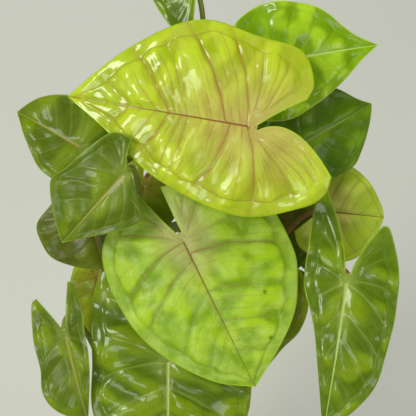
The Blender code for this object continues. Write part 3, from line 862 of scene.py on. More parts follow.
@dataclass
class Skin:
    """Points, faces and stored values of a mesh while it is being made."""

    stored: tuple[str, ...] = ()
    points: list[Points] = field(default_factory=list)
    quads: list[Points] = field(default_factory=list)
    triangles: list[Points] = field(default_factory=list)
    values: dict[str, list[Points]] = field(default_factory=dict)
    count: int = 0

    def add(self, points: Points, **values: Points) -> int:
        """Adds points with their stored values.

        Args:
            points: Rows of coordinates in millimetres.
            **values: A number for all the points, or one or three for each. The rest are 0.

        Returns:
            Index of the first new point.
        """
        first = self.count
        self.points.append(points)
        self.count += len(points)
        for name in self.stored:
            numbers = np.asarray(values.get(name, 0.0), float)
            spread = np.broadcast_to(numbers, (len(points),) + numbers.shape[1:])
            self.values.setdefault(name, []).append(spread)
        return first

    def tube(self, rows: Points) -> None:
        """Joins the rings of points whose numbers are given row by row."""
        right = np.roll(rows, -1, axis=1)
        self.quads.append(np.stack([rows[:-1], right[:-1], right[1:], rows[1:]], -1).reshape(-1, 4))

    def fan(self, row: Points, centre: int, way: int = 1) -> None:
        """Joins a ring of points to a point, turned about where way is -1."""
        made = np.stack([row, np.roll(row, -1), np.full_like(row, centre)], -1)
        self.triangles.append(made[:, ::way])

    def mesh(self, name: str) -> bpy.types.Mesh:
        """Makes the mesh in metres.

        Args:
            name: Name of the mesh.

        Returns:
            The mesh, smooth shaded, with its values as point attributes.
        """
        faces = [tuple(f) for group in self.quads + self.triangles for f in group.tolist()]
        made = bpy.data.meshes.new(name)
        made.from_pydata((np.vstack(self.points) * MM).tolist(), [], faces)
        for key, groups in self.values.items():
            numbers = np.concatenate(groups)
            kind = "FLOAT_VECTOR" if numbers.ndim == 2 else "FLOAT"
            slot = "vector" if numbers.ndim == 2 else "value"
            made.attributes.new(key, kind, "POINT").data.foreach_set(slot, numbers.ravel())
        made.shade_smooth()
        return made


@dataclass
class Stalk:
    """Slender stalk that widens into a sheath before it enters the soil."""

    surface: BladeSurface
    soil_level: float = 92.0
    sink: float = 12.0
    swell: float = 1.45
    steps: int = 56
    sides: int = 16

    def line(self) -> Points:
        """Centres of the rings, from inside the blade's junction to the floor of the hole.

        Returns:
            Rows of coordinates in millimetres.
        """
        leaf = self.surface.leaf
        top = np.array(leaf.at, float)
        tuck = math.radians(leaf.tuck)
        out = np.array([-math.cos(tuck), 0, -math.sin(tuck)]) @ self.surface.axes()
        foot = np.array([leaf.foot[0], leaf.foot[1], self.soil_level])
        lean = (top - foot) * (1, 1, 0)
        low = foot + (0, 0, leaf.rise) + 0.12 * lean
        t = np.linspace(0, 1, self.steps + 1)[:, None]
        line = ((1 - t) ** 3 * (top + out * 2.5) + 3 * t * (1 - t) ** 2 * (top + out * leaf.lead)
                + 3 * t * t * (1 - t) * low + t ** 3 * foot)
        return np.vstack([top + out * 0.2, top + out * 1.3, line, foot - (0, 0, self.sink - 0.5)])

    def radius(self, share: float) -> float:
        """Radius of the stalk, a little fuller right under the blade.

        Args:
            share: Share of the way down.

        Returns:
            The radius in millimetres.
        """
        top = self.surface.leaf.stalk_top
        sheath = 1 / (1 + math.exp(-(share - 0.62) * 14))
        knee = 1 + 0.22 * math.exp(-(share / 0.025) ** 2)
        return top * (knee + 0.15 * share) * (1 - sheath) + top * self.swell * sheath

    def build(self, skin: Skin) -> None:
        """Adds the stalk to a mesh.

        Args:
            skin: The mesh being made.
        """
        line = self.line()
        across = self.surface.axes()[1]
        turn = np.linspace(0, 2 * math.pi, self.sides, endpoint=False)
        channel = 1 - 0.16 * np.clip(np.cos(turn), 0, 1) ** 6
        first = skin.count
        length = length_along(line)
        for i, centre in enumerate(line):
            run = line[min(i + 1, len(line) - 1)] - line[max(i - 1, 0)]
            run = run / np.linalg.norm(run)
            across = across - (across @ run) * run
            across = across / np.linalg.norm(across)
            ahead = np.cross(run, across)
            share = min(max((i - 2) / self.steps, 0), 1)
            size = self.radius(share) * (channel if share < 0.97 else 1) * (0.7 if i == 0 else 1)
            ring = centre + (size * np.cos(turn))[:, None] * ahead + (
                size * np.sin(turn))[:, None] * across
            skin.add(ring, tip_share=share, blade_flat=self.unrolled(length[i], turn))
        rows = np.arange(len(line) * self.sides).reshape(len(line), self.sides) + first
        skin.tube(rows)
        for end, way in ((0, -1), (-1, 1)):
            centre = skin.add(line[end][None], tip_share=float(way > 0),
                              blade_flat=self.unrolled(0.0, turn[:1]))
            skin.fan(rows[end], centre, way)

    def unrolled(self, run: float, turn: Points) -> Points:
        """Place of a ring's points for the patterns, by its distance down and their angles."""
        return np.stack([np.full(len(turn), run), 2 * np.sin(turn), 2 * np.cos(turn)], -1) * MM


@dataclass
class Blade:
    """Leaf blade with sunken veins above, ridges below, puckered flesh and a thin edge."""

    surface: BladeSurface
    skin: Skin
    half_thick: float = 0.24
    keel_depth: float = 0.75
    groove: float = 0.42
    groove_width: float = 0.9
    dome_width: float = 2.6
    rib_groove: float = 0.35
    rib_width: float = 1.1
    loop_margin: float = 0.075
    index: dict[int, Points] = field(default_factory=dict)
    top: int = 0
    base: int = 0

    def grid(self) -> tuple[Points, Points]:
        """Lines of the blade's grid.

        Returns:
            Vein numbers, and shares of the way from the rib to the margin.
        """
        steps, rings = self.surface.leaf.rank.value
        last = self.surface.tip_vein
        return np.linspace(0, last, last * steps + 1), np.linspace(0, 1, rings + 1)

    def waves(self, flat: Points, pattern: int,
              layers: tuple[tuple[float, float], ...]) -> Points:
        """Soft unevenness made of crossing waves.

        Args:
            flat: Flat points with the side's sign.
            pattern: Number of the pattern.
            layers: Wavelength and height of each layer.

        Returns:
            Heights, about -1 to 1 for layers that sum to 1.
        """
        rng = random.Random(sum(ord(letter) for letter in self.surface.leaf.name) + pattern)
        total = np.zeros(flat.shape[:-1])
        for wavelength, height in layers:
            for _ in range(3):
                way = rng.uniform(0, 2 * math.pi)
                shift = rng.uniform(0, 2 * math.pi)
                pitch = 2 * math.pi / (wavelength * rng.uniform(0.85, 1.2))
                total += height / 2 * np.sin(pitch * (flat[..., 0] * math.cos(way)
                                                      + flat[..., 1] * math.sin(way)) + shift)
        return total

    def half(self, side: int) -> dict[str, Points]:
        """Surface, normals and stored values over one half of the blade.

        Args:
            side: 1 for the left half and -1 for the right.

        Returns:
            Arrays by name, each over the grid.
        """
        leaf = self.surface.leaf
        vein, out = np.meshgrid(*self.grid(), indexing="ij")
        flat = self.surface.flat(side, vein, out)
        along = flat[..., 0]
        off_rib = flat[..., 1]
        slopes = [self.surface.curved(side, flat + step) - self.surface.curved(side, flat - step)
                  for step in np.array([[0.05, 0], [0, 0.05]])]
        normal = np.cross(*slopes) * side
        normal /= np.linalg.norm(normal, axis=-1, keepdims=True)
        by_vein = np.gradient(flat, axis=0) / np.gradient(vein, axis=0)[..., None]
        by_out = np.gradient(flat, axis=1)
        by_out /= np.maximum(np.linalg.norm(by_out, axis=-1, keepdims=True), 1e-6)
        spacing = np.abs(by_vein[..., 0] * by_out[..., 1] - by_vein[..., 1] * by_out[..., 0])
        span = np.linalg.norm(flat[:, -1:] - flat[:, :1], axis=-1) * np.ones_like(out)
        edge = np.minimum((1 - out) * span, vein * spacing)
        signed = flat * np.array([1, side])
        inside = 4 * out * (1 - out) * np.clip(vein, 0, 1) * np.clip(8 - vein, 0, 1)
        strayed = vein + 0.05 * inside * self.waves(signed, 1, ((26, 0.6), (12, 0.4)))
        nearest = np.clip(np.round(strayed), 0, 8).astype(int)
        strength = leaf.ribbing(side)[2][nearest]
        margin = self.loop_margin * leaf.length + 0.6
        margin = margin * span / (span + margin) * (1.22 - 0.5 * np.abs(strayed - nearest))
        loop = edge - margin
        height = self.relief(signed, strayed, spacing, strength, loop)
        fade = np.clip(out * 9, 0, 1) * np.clip(vein * 1.6, 0, 1) * np.clip(edge / 2.5, 0.15, 1)
        rib = np.exp(-(off_rib / self.rib_width) ** 2)
        rise = height * fade * np.clip(off_rib / 4, 0, 1) - self.rib_groove * rib * (along > 0)
        thick = self.half_thick * np.clip(0.45 + edge / 5, 0, 1)
        keel = self.keel_depth * np.clip(1 - 0.85 * along / leaf.length, 0.1, 1)
        keel = keel * rib * np.clip(1 + along / 4, 0, 1)
        wide = max(p[1] for p in leaf.outline(side))
        far = np.hypot(along / leaf.length, off_rib / wide * 0.8)
        return {"middle": self.surface.curved(side, flat) + normal * rise[..., None],
                "normal": normal, "thick": thick, "keel": keel,
                "blade_flat": np.concatenate([signed, 0 * signed[..., :1]], -1) * MM,
                "vein_number": strayed, "vein_share": out, "vein_spacing": spacing,
                "vein_strength": strength, "loop_distance": loop, "edge_distance": edge,
                "rib_distance": np.abs(off_rib), "tip_share": far, "raised": height}

    def relief(self, signed: Points, strayed: Points, spacing: Points, strength: Points,
               loop: Points) -> Points:
        """Height of the flesh between sunken veins.

        Args:
            signed: Flat points with the side's sign.
            strayed: Vein numbers.
            spacing: Distance between two veins.
            strength: Strength of the nearest vein.
            loop: Signed distance from the collecting vein.

        Returns:
            Heights in millimetres.
        """
        leaf = self.surface.leaf
        from_vein = np.abs(strayed - np.clip(np.round(strayed), 0, 8)) * spacing
        grow = np.clip(spacing / 10, 0, 1)
        within = np.clip(0.5 + loop / 2, 0, 1)
        uneven = self.waves(signed, 2, ((17, 0.5), (9, 0.5)))
        dome = 1 - np.exp(-(from_vein / self.dome_width) ** 2)
        dome = dome * leaf.pillow * grow * (1 + 0.8 * uneven)
        crease = 0.5 - 0.5 * np.cos(6 * math.pi * strayed)
        crimp = leaf.crimp * crease * grow * np.clip(spacing / 7, 0, 1.6)
        crimp = crimp * (1 + 0.9 * self.waves(signed, 3, ((13, 0.5), (7, 0.5))))
        groove = -self.groove * strength * grow * np.exp(-(from_vein / self.groove_width) ** 2)
        height = (dome + crimp + groove) * (0.25 + 0.75 * within)
        height = height - 0.4 * grow * np.exp(-(loop / self.groove_width) ** 2)
        rim = np.clip(-loop / 3, 0, 1) * self.waves(signed, 4, ((17, 0.7), (9, 0.3))) * 0.3
        swell = leaf.swell * 2 * self.waves(signed, 0, ((26, 1.0), (14, 0.7)))
        return height + rim + swell

    def build(self) -> None:
        """Adds the blade to the mesh, with the rib's points shared by both halves."""
        left = self.half(1)
        right = self.half(-1)
        veins, shares = self.grid()
        size = (len(veins), len(shares))
        count = size[0] * size[1]
        index = {1: np.arange(count).reshape(size)}
        index[-1] = index[1] + count
        rib = veins >= self.surface.basal_vein
        index[-1][rib, 0] = index[1][rib, 0]
        index[1][-1, :] = index[-1][-1, :] = index[1][-1, 0]
        for key in ("middle", "normal"):
            left[key][rib, 0] = 0.5 * (left[key][rib, 0] + right[key][rib, 0])
            left[key][-1, :] = left[key][-1, 0]
        left["normal"] /= np.linalg.norm(left["normal"], axis=-1, keepdims=True)
        used, compact = np.unique(np.concatenate([index[1].ravel(), index[-1].ravel()]),
                                  return_inverse=True)
        self.index = {1: compact[:count].reshape(size), -1: compact[count:].reshape(size)}
        part = {key: np.concatenate([left[key].reshape(count, -1),
                                     right[key].reshape(count, -1)])[used] for key in left}
        upper = part["middle"] + part["normal"] * part["thick"]
        lower = part["middle"] - part["normal"] * (part["thick"] + part["keel"])
        stored = {name: part[name][:, 0] for name in LEAF_VALUES[:-1]}
        stored["blade_flat"] = part["blade_flat"]
        self.top = self.skin.add(self.surface.to_world(upper), **stored)
        self.base = self.skin.add(self.surface.to_world(lower), underside=1.0, **stored)
        self.cover()
        self.collar(int(np.sum(rib == 0)))

    def cover(self) -> None:
        """Adds the upper and lower faces and the rim."""
        for way, grid in self.index.items():
            cells = np.stack([grid[:-1, :-1], grid[1:, :-1], grid[1:, 1:], grid[:-1, 1:]], -1)
            body = cells[:-1].reshape(-1, 4)
            tip = cells[-1][:, [0, 1, 3]].reshape(-1, 3)
            self.skin.quads += [body[:, ::way] + self.top, body[:, ::-way] + self.base]
            self.skin.triangles += [tip[:, ::way] + self.top, tip[:, ::-way] + self.base]
            for line in (grid[0], grid[:, -1]):
                self.rim(*(line[:-1], line[1:])[::way])

    def rim(self, first: Points, second: Points) -> None:
        """Adds a strip of edge faces between the upper and lower points of the two rows."""
        self.skin.quads.append(np.stack([first + self.top, second + self.top,
                                         second + self.base, first + self.base], -1))

    def collar(self, last: int) -> None:
        """Closes the junction where the basal veins meet.

        Args:
            last: Column of the last basal vein.
        """
        ring = np.concatenate([self.index[1][:last + 1, 0], self.index[-1][:last, 0][::-1]])
        self.rim(ring[-1:], ring[:1])
        centre = self.surface.to_world(np.array([[0.0, 0.0, 0.15], [0.0, 0.0, -0.9]]))
        middle = self.skin.add(centre, underside=np.array([0.0, 1.0]), blade_flat=np.zeros((2, 3)),
                               vein_number=3.0, vein_spacing=1.0, loop_distance=9.0,
                               edge_distance=9.0, rib_distance=9.0)
        self.skin.fan(ring + self.top, middle, -1)
        self.skin.fan(ring + self.base, middle + 1)


@dataclass
class Leaf:
    """A finished leaf: blade and stalk in one piece."""

    form: LeafForm

    def build(self) -> bpy.types.Object:
        """Builds the leaf and sets it on the plant.

        Returns:
            The leaf's object.
        """
        surface = BladeSurface(self.form)
        skin = Skin(("blade_flat",) + LEAF_VALUES)
        Blade(surface, skin).build()
        blade_points = skin.count
        Stalk(surface).build(skin)
        mesh = skin.mesh(self.form.name + "_grown")
        mesh.materials.append(self.form.finish.material())
        mesh.materials.append(self.form.stalk.material())
        for face in mesh.polygons:
            face.material_index = int(face.vertices[0] >= blade_points)
        return place(mesh, self.form.finish.slot, self.form.name)


def place(mesh: bpy.types.Mesh, slot: str, *nodes: str) -> bpy.types.Object:
    """Puts a mesh on the plant in the place of CAD nodes.

    Args:
        mesh: The finished mesh.
        slot: Name of a material slot; not used.
        *nodes: The nodes it stands for.

    Returns:
        The object.
    """
    made = bpy.data.objects.new(mesh.name, mesh)
    bpy.context.scene.collection.objects.link(made)
    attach(made, "root")
    if nodes:
        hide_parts(*nodes)
    return made


FOLIAGE = [
    LeafForm("leaf_crown", LIME_CROWN, (39, -2, 326), (171, 6, -54), (6, -6),
             [(-41, 17), (-39, 26), (-29, 34), (0, 43), (40, 32.5), (72, 11.5), (92, 0)],
             [(-23, 17), (-25, 26), (-17, 40), (3, 43.5), (33, 47.5), (62, 31), (92, 0)],
             Rank.SHOWPIECE, stalk=STALK_RED, inner=(-11, 9), ribs_left=CROWN_LEFT,
             ribs_right=CROWN_RIGHT, pillow=0.42, crimp=0.1, droop=14, dip=6, fold=5, curl=-22,
             wave=1.6, phase=0.1, tuck=70),
    LeafForm("leaf_heart", LIME_HEART, (5, -16, 272), (-55, -40, 28), (-4, -14),
             [(-27, 1.5), (-20, 29), (0, 45), (27, 47.5), (44, 42), (61, 30), (82, 0)],
             [(-30, 10), (-24, 22), (-12, 38), (10, 43), (40, 38), (68, 19), (82, 0)],
             Rank.SHOWPIECE, inner=(1, 6), ribs_left=HEART_LEFT, ribs_right=HEART_RIGHT, pillow=0.5,
             swell=0.22, droop=22, fold=5, curl=-25, wave=1.4, phase=0.3, tuck=75),
    LeafForm("leaf_back_left", GREEN_MID, (-44, 25, 296), (157, 22, -39), (-18, 2),
             [(-14, 6), (-9, 14), (2, 20), (14, 19.5), (28, 10.5), (36, 4), (41, 0)],
             [(-16, 8), (-13, 18), (0, 25), (10, 24.5), (22, 20), (34, 12), (41, 0)],
             inner=(3, 4), phase=0.74),
    LeafForm("leaf_left", GREEN_MID, (-21, -13, 308), (-149, -39, -49), (-12, -10),
             [(8, 9), (9, 14), (12, 20.5), (18, 19.5), (26, 14.5), (37, 6.5), (47, 0)],
             [(-14, 8), (-10, 17), (4, 21), (18, 22.5), (27, 24), (37, 14), (47, 0)],
             inner=(4, 6), dip=12, phase=0.11, tuck=80, lead=60, rise=185),
    LeafForm("leaf_inner_left", OLIVE_BRIGHT, (-14, 27, 275), (-113, -53, -19), (-10, -1),
             [(-12, 3), (-11, 12), (-2, 19), (10, 20), (22, 15), (34, 6), (40, 0)],
             [(-11, 3), (-9, 9), (-2, 12), (10, 12.5), (22, 9.5), (34, 4), (40, 0)],
             Rank.SIDE, stalk=STALK_RED, inner=(2, 2), phase=0.48),
    LeafForm("leaf_left_low", OLIVE_DEEP, (-41, 4, 271), (-65, -52, 20), (-16, -18),
             [(-13, 6), (-8, 11), (2, 14), (10, 13), (17, 10), (24, 5), (29, 0)],
             [(-16, 9), (-10, 17), (-3, 26), (5, 27), (15, 24), (23, 14), (29, 0)],
             Rank.SIDE, inner=(5, 5), phase=0.85),
    LeafForm("leaf_narrow_left", OLIVE_BRIGHT, (-40, 22, 221), (-104, -60, -12), (-20, -8),
             [(-10, 3), (-10, 8), (-4, 12), (6, 14), (14, 13.5), (21, 11), (29, 7), (38, 0)],
             [(-10, 3), (-10, 8), (-4, 12), (6, 14), (14, 14), (21, 11.5), (29, 7), (38, 0)],
             Rank.SIDE, stalk=STALK_RED, inner=(2, 2), phase=0.22),
    LeafForm("leaf_hanging_left", GREEN_MID, (-53, -32, 226), (-69, -48, 17), (-25, -18),
             [(-24, 7), (-21, 10), (-8, 11), (4, 9.5), (14, 9), (28, 6), (48, 0)],
             [(-19, 10), (-16, 13), (0, 16), (15, 16), (27, 18), (38, 13), (48, 0)],
             inner=(3, 4), droop=25, phase=0.59),
    LeafForm("leaf_front", GREEN_GLOSSY, (-2, -34, 211), (-90, -55, 0), (-6, -23),
             [(-33, 22), (-30, 33), (-8, 41), (14, 42), (34, 38), (56, 20), (76, 0)],
             [(-48, 24), (-46, 32), (-28, 38), (0, 38), (30, 37), (56, 20), (76, 0)],
             Rank.SHOWPIECE, inner=(6, 6), pillow=0.6, droop=25, dip=14, wave=1.6, phase=0.2,
             tuck=70),
    LeafForm("leaf_hanging_right", GREEN_GLOSSY, (86, -24, 253), (-103, -50, -10), (14, -16),
             [(-28, 14), (-26, 18), (-10, 24), (8, 26), (26, 25), (54, 20), (80, 0)],
             [(-43, 16), (-38, 20), (-16, 21), (6, 20.5), (24, 13.5), (48, 7.5), (80, 0)],
             stalk=STALK_RED, inner=(3, 3), droop=25, dip=8, wave=1.4, waves=3, phase=0.4, tuck=65),
    LeafForm("leaf_right_pale", PALE_PINK, (77, 20, 262), (-3, -5, 55), (21, -7),
             [(-14, 12), (-10, 20), (2, 25), (12, 24), (21, 18), (29, 7), (32, 0)],
             [(-14, 12), (-10, 20), (2, 25), (12, 25), (20, 21), (28, 10), (32, 0)],
             stalk=STALK_RED, inner=(4, 4), phase=0.7, tuck=65),
    LeafForm("leaf_right_dark", GREEN_DARK, (63, 28, 296), (23, 20, 53), (14, 2),
             [(-16, 9), (-12, 18), (2, 23), (14, 22), (30, 17.5), (40, 5.5), (46, 0)],
             [(-16, 9), (-12, 17), (0, 22), (18, 23), (28, 18), (38, 9), (46, 0)],
             inner=(4, 4), phase=0.07, tuck=65),
    LeafForm("leaf_upper_right", GREEN_BRIGHT, (53, 47, 334), (13, 4, 54), (9, 8),
             [(-22, 14), (-17, 23), (-3, 29.5), (14, 28), (26.5, 22), (42, 7), (55, 0)],
             [(-22, 12), (-18, 24), (-8, 29), (5, 28.5), (27, 18), (44, 6), (55, 0)],
             inner=(6, 6), dip=12, wave=2, waves=2.5, tuck=65),
    LeafForm("leaf_topmost", GREEN_GLOSSY, (12, 57, 369), (129, 39, -32), (-1, 3),
             [(-18, 12), (-14, 19), (4, 21), (16, 19), (30, 14), (44, 6), (52, 0)],
             [(-9, 6), (-8, 13), (2, 19), (14, 20), (28, 15), (42, 6), (52, 0)],
             inner=(5, 5), phase=0.81, tuck=65),
    LeafForm("leaf_inner_right", OLIVE_BRIGHT, (45, -9, 234), (-97, -55, -6), (5, -20),
             [(-16, 8), (-12, 18), (-2, 23), (9, 24), (20, 20.5), (30, 12), (49, 0)],
             plain_half(49, 22),
             Rank.SIDE, inner=(4, 4), phase=0.18, tuck=65),
    plain_leaf("leaf_rear_left", GREEN_MID, (-4, 68, 268), (125, -25), (-12, 14), (48, 25, 24),
               0.55),
    plain_leaf("leaf_rear_right", OLIVE_DEEP, (49, 68, 284), (70, -20), (13, 17), (50, 25, 26),
               0.92),
    plain_leaf("leaf_rear_middle", GREEN_GLOSSY, (13, 76, 248), (95, -45), (-3, 20), (46, 24, 24),
               0.29),
    plain_leaf("leaf_side_right", OLIVE_DEEP, (60, 54, 240), (-88, -44), (21, 12), (42, 22, 21),
               0.66, Rank.SIDE),
    plain_leaf("leaf_side_left", GREEN_DARK, (-27, 46, 238), (140, -35), (-16, 21), (42, 21, 22),
               0.03, lead=28, rise=70),
    plain_leaf("leaf_rear_low_right", OLIVE_DEEP, (51, 84, 211), (60, -50), (8, 26), (40, 20, 21),
               0.4, lead=28, rise=70),
    plain_leaf("leaf_rear_low_left", GREEN_MID, (-12, 71, 213), (115, -50), (-7, 28), (40, 21, 20),
               0.77, lead=28, rise=70),
    plain_leaf("leaf_low_right", OLIVE_DEEP, (74, 38, 206), (8, -50), (27, 5), (40, 18, 18), 0.14,
               lead=28, rise=70),
    plain_leaf("leaf_low_left", GREEN_DARK, (-41, 42, 188), (172, -50), (-30, 8), (38, 17, 17),
               0.51, tuck=85, lead=14, rise=45),
    plain_leaf("leaf_rear_top", OLIVE_DEEP, (24, 76, 294), (82, 6), (4, 14.5), (46, 23, 23), 0.88),
    plain_leaf("leaf_rear_upper_left", GREEN_MID, (-33, 50, 292), (160, -5), (-25, 14),
               (42, 21, 21), 0.25),
    plain_leaf("leaf_low_front_left", OLIVE_DEEP, (-34, -36, 150), (-125, -35), (-14, -27),
               (40, 19, 19), 0.62, lead=25, rise=35),
    plain_leaf("leaf_low_front_right", GREEN_DARK, (30, -40, 142), (-55, -35), (9, -28),
               (38, 18, 18), 0.99, lead=22, rise=32)]


@dataclass
class Pot:
    """Plain clay pot turned on a wheel, with a rim band and drain holes."""

    height: float = 104.0
    foot_radius: float = 39.0
    body_top_radius: float = 52.0
    band_radius: float = 56.0
    band_height: float = 22.0
    wall: float = 4.0
    floor: float = 5.0
    drain_radius: float = 4.5
    drain_ring: float = 20.0
    drains: int = 4
    sides: int = 180
    finish: ClayFinish = ClayFinish()

    def body_radius(self, height: float) -> float:
        """Outer radius of the tapered body at a height."""
        share = height / (self.height - self.band_height)
        return self.foot_radius + (self.body_top_radius - self.foot_radius) * share

    def profile(self) -> Margin:
        """Half section from the middle of the foot up the outside and down the bore.

        Returns:
            Radius and height of each corner.
        """
        shoulder = self.height - self.band_height
        band = self.band_radius
        outer = [(0, 0), (self.foot_radius - 2.4, 0), (self.foot_radius - 0.9, 0.35),
                 (self.foot_radius, 1.6)]
        outer += [(self.body_radius(h) + 0.12 * math.sin(h * 0.9), h)
                  for h in np.linspace(4, shoulder - 2.5, 30)]
        outer += [(self.body_radius(shoulder) - 0.4, shoulder - 1.2),
                  (self.body_radius(shoulder) + 0.4, shoulder - 0.5),
                  (band - 1.9, shoulder - 0.1), (band - 1.0, shoulder + 0.5),
                  (band - 0.5, shoulder + 1.6)]
        lean = 1.4 / self.band_height
        outer += [(band - 0.5 + lean * (h - shoulder) + 0.08 * math.sin(h * 1.7), h)
                  for h in np.linspace(shoulder + 4, self.height - 4, 10)]
        outer += [(band + 1.0, self.height - 2.5), (band + 0.7, self.height - 1.2),
                  (band - 0.2, self.height - 0.35), (band - 1.8, self.height)]
        bore = self.body_radius(self.height) - self.wall
        inner = [(bore + 2.2, self.height - 0.1), (bore + 0.8, self.height - 0.7),
                 (self.body_radius(self.height - 2.5) - self.wall, self.height - 2.5)]
        inner += [(self.body_radius(h) - self.wall, h) for h in np.linspace(90, self.floor + 2, 8)]
        inner += [(self.body_radius(self.floor) - self.wall - 2, self.floor), (0, self.floor)]
        return outer + inner

    def build(self) -> bpy.types.Object:
        """Builds the pot.

        Returns:
            The pot's object.
        """
        body = turned("pot_turned", self.profile(), self.sides)
        body.materials.append(self.finish.material())
        pot = place(body, "terracotta", "pot")
        for i in range(self.drains):
            angle = 2 * math.pi * (i + 0.5) / self.drains
            self.drill(pot, self.drain_ring * math.cos(angle), self.drain_ring * math.sin(angle))
        pot.data.shade_smooth()
        return pot

    def drill(self, pot: bpy.types.Object, x: float, y: float) -> None:
        """Cuts one drain hole.

        Args:
            pot: The pot.
            x: Hole's place across.
            y: Hole's place in depth.
        """
        r = self.drain_radius
        shape = [(0, -2), (r + 0.9, -2), (r + 0.9, 0.15), (r + 0.25, 0.6), (r, 1.3),
                 (r, self.floor - 0.8), (r + 0.5, self.floor + 0.1), (r + 0.5, self.floor + 2),
                 (0, self.floor + 2)]
        tool = bpy.data.objects.new("drain_pin", turned("drain_pin", shape, 32))
        tool.location = (x * MM, y * MM, 0)
        bpy.context.scene.collection.objects.link(tool)
        step = pot.modifiers.new("drain", "BOOLEAN")
        step.operation = "DIFFERENCE"
        step.solver = "EXACT"
        step.object = tool
        graph = bpy.context.evaluated_depsgraph_get()
        drilled = bpy.data.meshes.new_from_object(pot.evaluated_get(graph))
        pot.modifiers.clear()
        pot.data = drilled
        bpy.data.objects.remove(tool)


def turned(name: str, profile: Margin, sides: int) -> bpy.types.Mesh:
    """Closed mesh turned about the upright axis.

    Args:
        name: Name of the mesh.
        profile: Radius and height of each corner, from the axis out and back to the axis.
        sides: Number of sides.

    Returns:
        The mesh, in metres.
    """
    turn = np.linspace(0, 2 * math.pi, sides, endpoint=False)
    skin = Skin()
    rows = []
    for radius, height in profile:
        around = turn if radius > 0 else turn[:1]
        ring = np.stack([radius * np.cos(around), radius * np.sin(around),
                         np.full(len(around), height)], -1)
        rows.append(np.arange(len(around)) + skin.add(ring))
    for low, high in zip(rows[:-1], rows[1:]):
        if len(low) == 1:
            skin.fan(high, low[0], -1)
        elif len(high) == 1:
            skin.fan(low, high[0])
        else:
            skin.tube(np.stack([low, high]))
    return skin.mesh(name)


@dataclass
class SoilBed:
    """Potting soil with an uneven crumbly top and loose bits lying on it."""

    level: float = 91.6
    radius: float = 49.3
    base: float = 5.3
    rings: int = 120
    sides: int = 300
    strewn: float = 47.0
    stalk_gap: float = 3.2
    finish: SoilFinish = SoilFinish()
    bark: CrumbFinish = CrumbFinish("bark_bits", tone(92, 62, 40), tone(54, 36, 24), 0.8)
    clods: CrumbFinish = CrumbFinish("soil_clods", tone(58, 44, 34), tone(34, 26, 20), 0.9)
    grit: CrumbFinish = CrumbFinish("pale_grit", tone(206, 200, 184), tone(160, 152, 136), 0.75)

    def height(self, x: float, y: float) -> float:
        """Height of the soil's top.

        Args:
            x: Place across.
            y: Place in depth.

        Returns:
            The height in millimetres.
        """
        far = math.hypot(x, y)
        swell = 1.6 * noise.noise(Vector((x * 0.05, y * 0.05, 3.1))) * min(1, far / 30)
        lumps = 1.1 * noise.noise(Vector((x * 0.22, y * 0.22, 8.7)))
        grains = 0.55 * noise.noise(Vector((x * 0.7, y * 0.7, 1.3)))
        return self.level + swell + lumps + grains - 1.2 * max(0.0, (far - 44) / 5) ** 2

    def build(self) -> bpy.types.Object:
        """Builds the bed of soil.

        Returns:
            The soil's object.
        """
        profile = [(0, self.base), (33.5, self.base), (35.5, self.base + 1.5)]
        profile += [(35.5 + (self.radius - 35.5) * s, self.base + (self.level - 8 - self.base) * s)
                    for s in np.linspace(0.1, 0.9, 6)]
        profile += [(self.radius - 0.4, self.level - 6), (self.radius, self.level - 3)]
        profile += [(self.radius * r / self.rings, self.level) for r in range(self.rings, -1, -1)]
        bed = turned("soil_bed", profile, self.sides)
        for point in bed.vertices:
            if point.co.z > (self.level - 1) * MM:
                point.co.z = self.height(point.co.x / MM, point.co.y / MM) * MM
        bed.materials.append(self.finish.material())
        return place(bed, "potting_soil", "soil")

    def crumb(self, skin: Skin, rng: random.Random, size: Spot) -> None:
        """Adds one bit lying on the soil, clear of the stalks.

        Args:
            skin: The mesh being made.
            rng: Source of the bit's place and shape.
            size: Half lengths of the bit.
        """
        for _ in range(20):
            far = self.strewn * math.sqrt(rng.random())
            way = rng.uniform(0, 2 * math.pi)
            x = far * math.cos(way)
            y = far * math.sin(way)
            if all(math.dist((x, y), leaf.foot) > self.stalk_gap for leaf in FOLIAGE):
                break
        spin = Matrix.Rotation(rng.uniform(0, 6.28), 3, "Z") @ Matrix.Rotation(
            rng.uniform(-0.5, 0.5), 3, "X")
        corners = []
        for level, reach in ((-1, 0.55), (-0.35, 1.0), (0.4, 0.95), (1, 0.5)):
            for i in range(7):
                a = 2 * math.pi * i / 7
                grow = rng.uniform(0.75, 1.1)
                grow *= reach
                corners.append(spin @ Vector((size[0] * grow * math.cos(a),
                                              size[1] * grow * math.sin(a),
                                              size[2] * level * rng.uniform(0.8, 1.1))))
        centre = np.array([x, y, self.height(x, y) + 0.35 * size[2]])
        first = skin.add(centre + np.array(corners))
        rows = np.arange(28).reshape(4, 7) + first
        skin.tube(rows)
        pole = np.array(spin @ Vector((0, 0, size[2])))
        for row, way in ((rows[0], -1), (rows[-1], 1)):
            skin.fan(row, skin.add((centre + way * pole)[None]), way)

    def scatter(self, name: str, finish: CrumbFinish, count: int, size: Spot,
                seed: int) -> bpy.types.Object:
        """Builds one kind of loose bits.

        Args:
            name: Name of the piece.
            finish: Its finish.
            count: Number of bits.
            size: Half lengths of an ordinary bit.
            seed: Seed of their places.

        Returns:
            The bits' object.
        """
        rng = random.Random(seed)
        skin = Skin()
        for _ in range(count):
            grow = rng.uniform(0.6, 1.5)
            self.crumb(skin, rng, tuple(half * grow for half in size))
        mesh = skin.mesh(name)
        mesh.materials.append(finish.material())
        mesh.shade_flat()
        return place(mesh, "potting_soil")


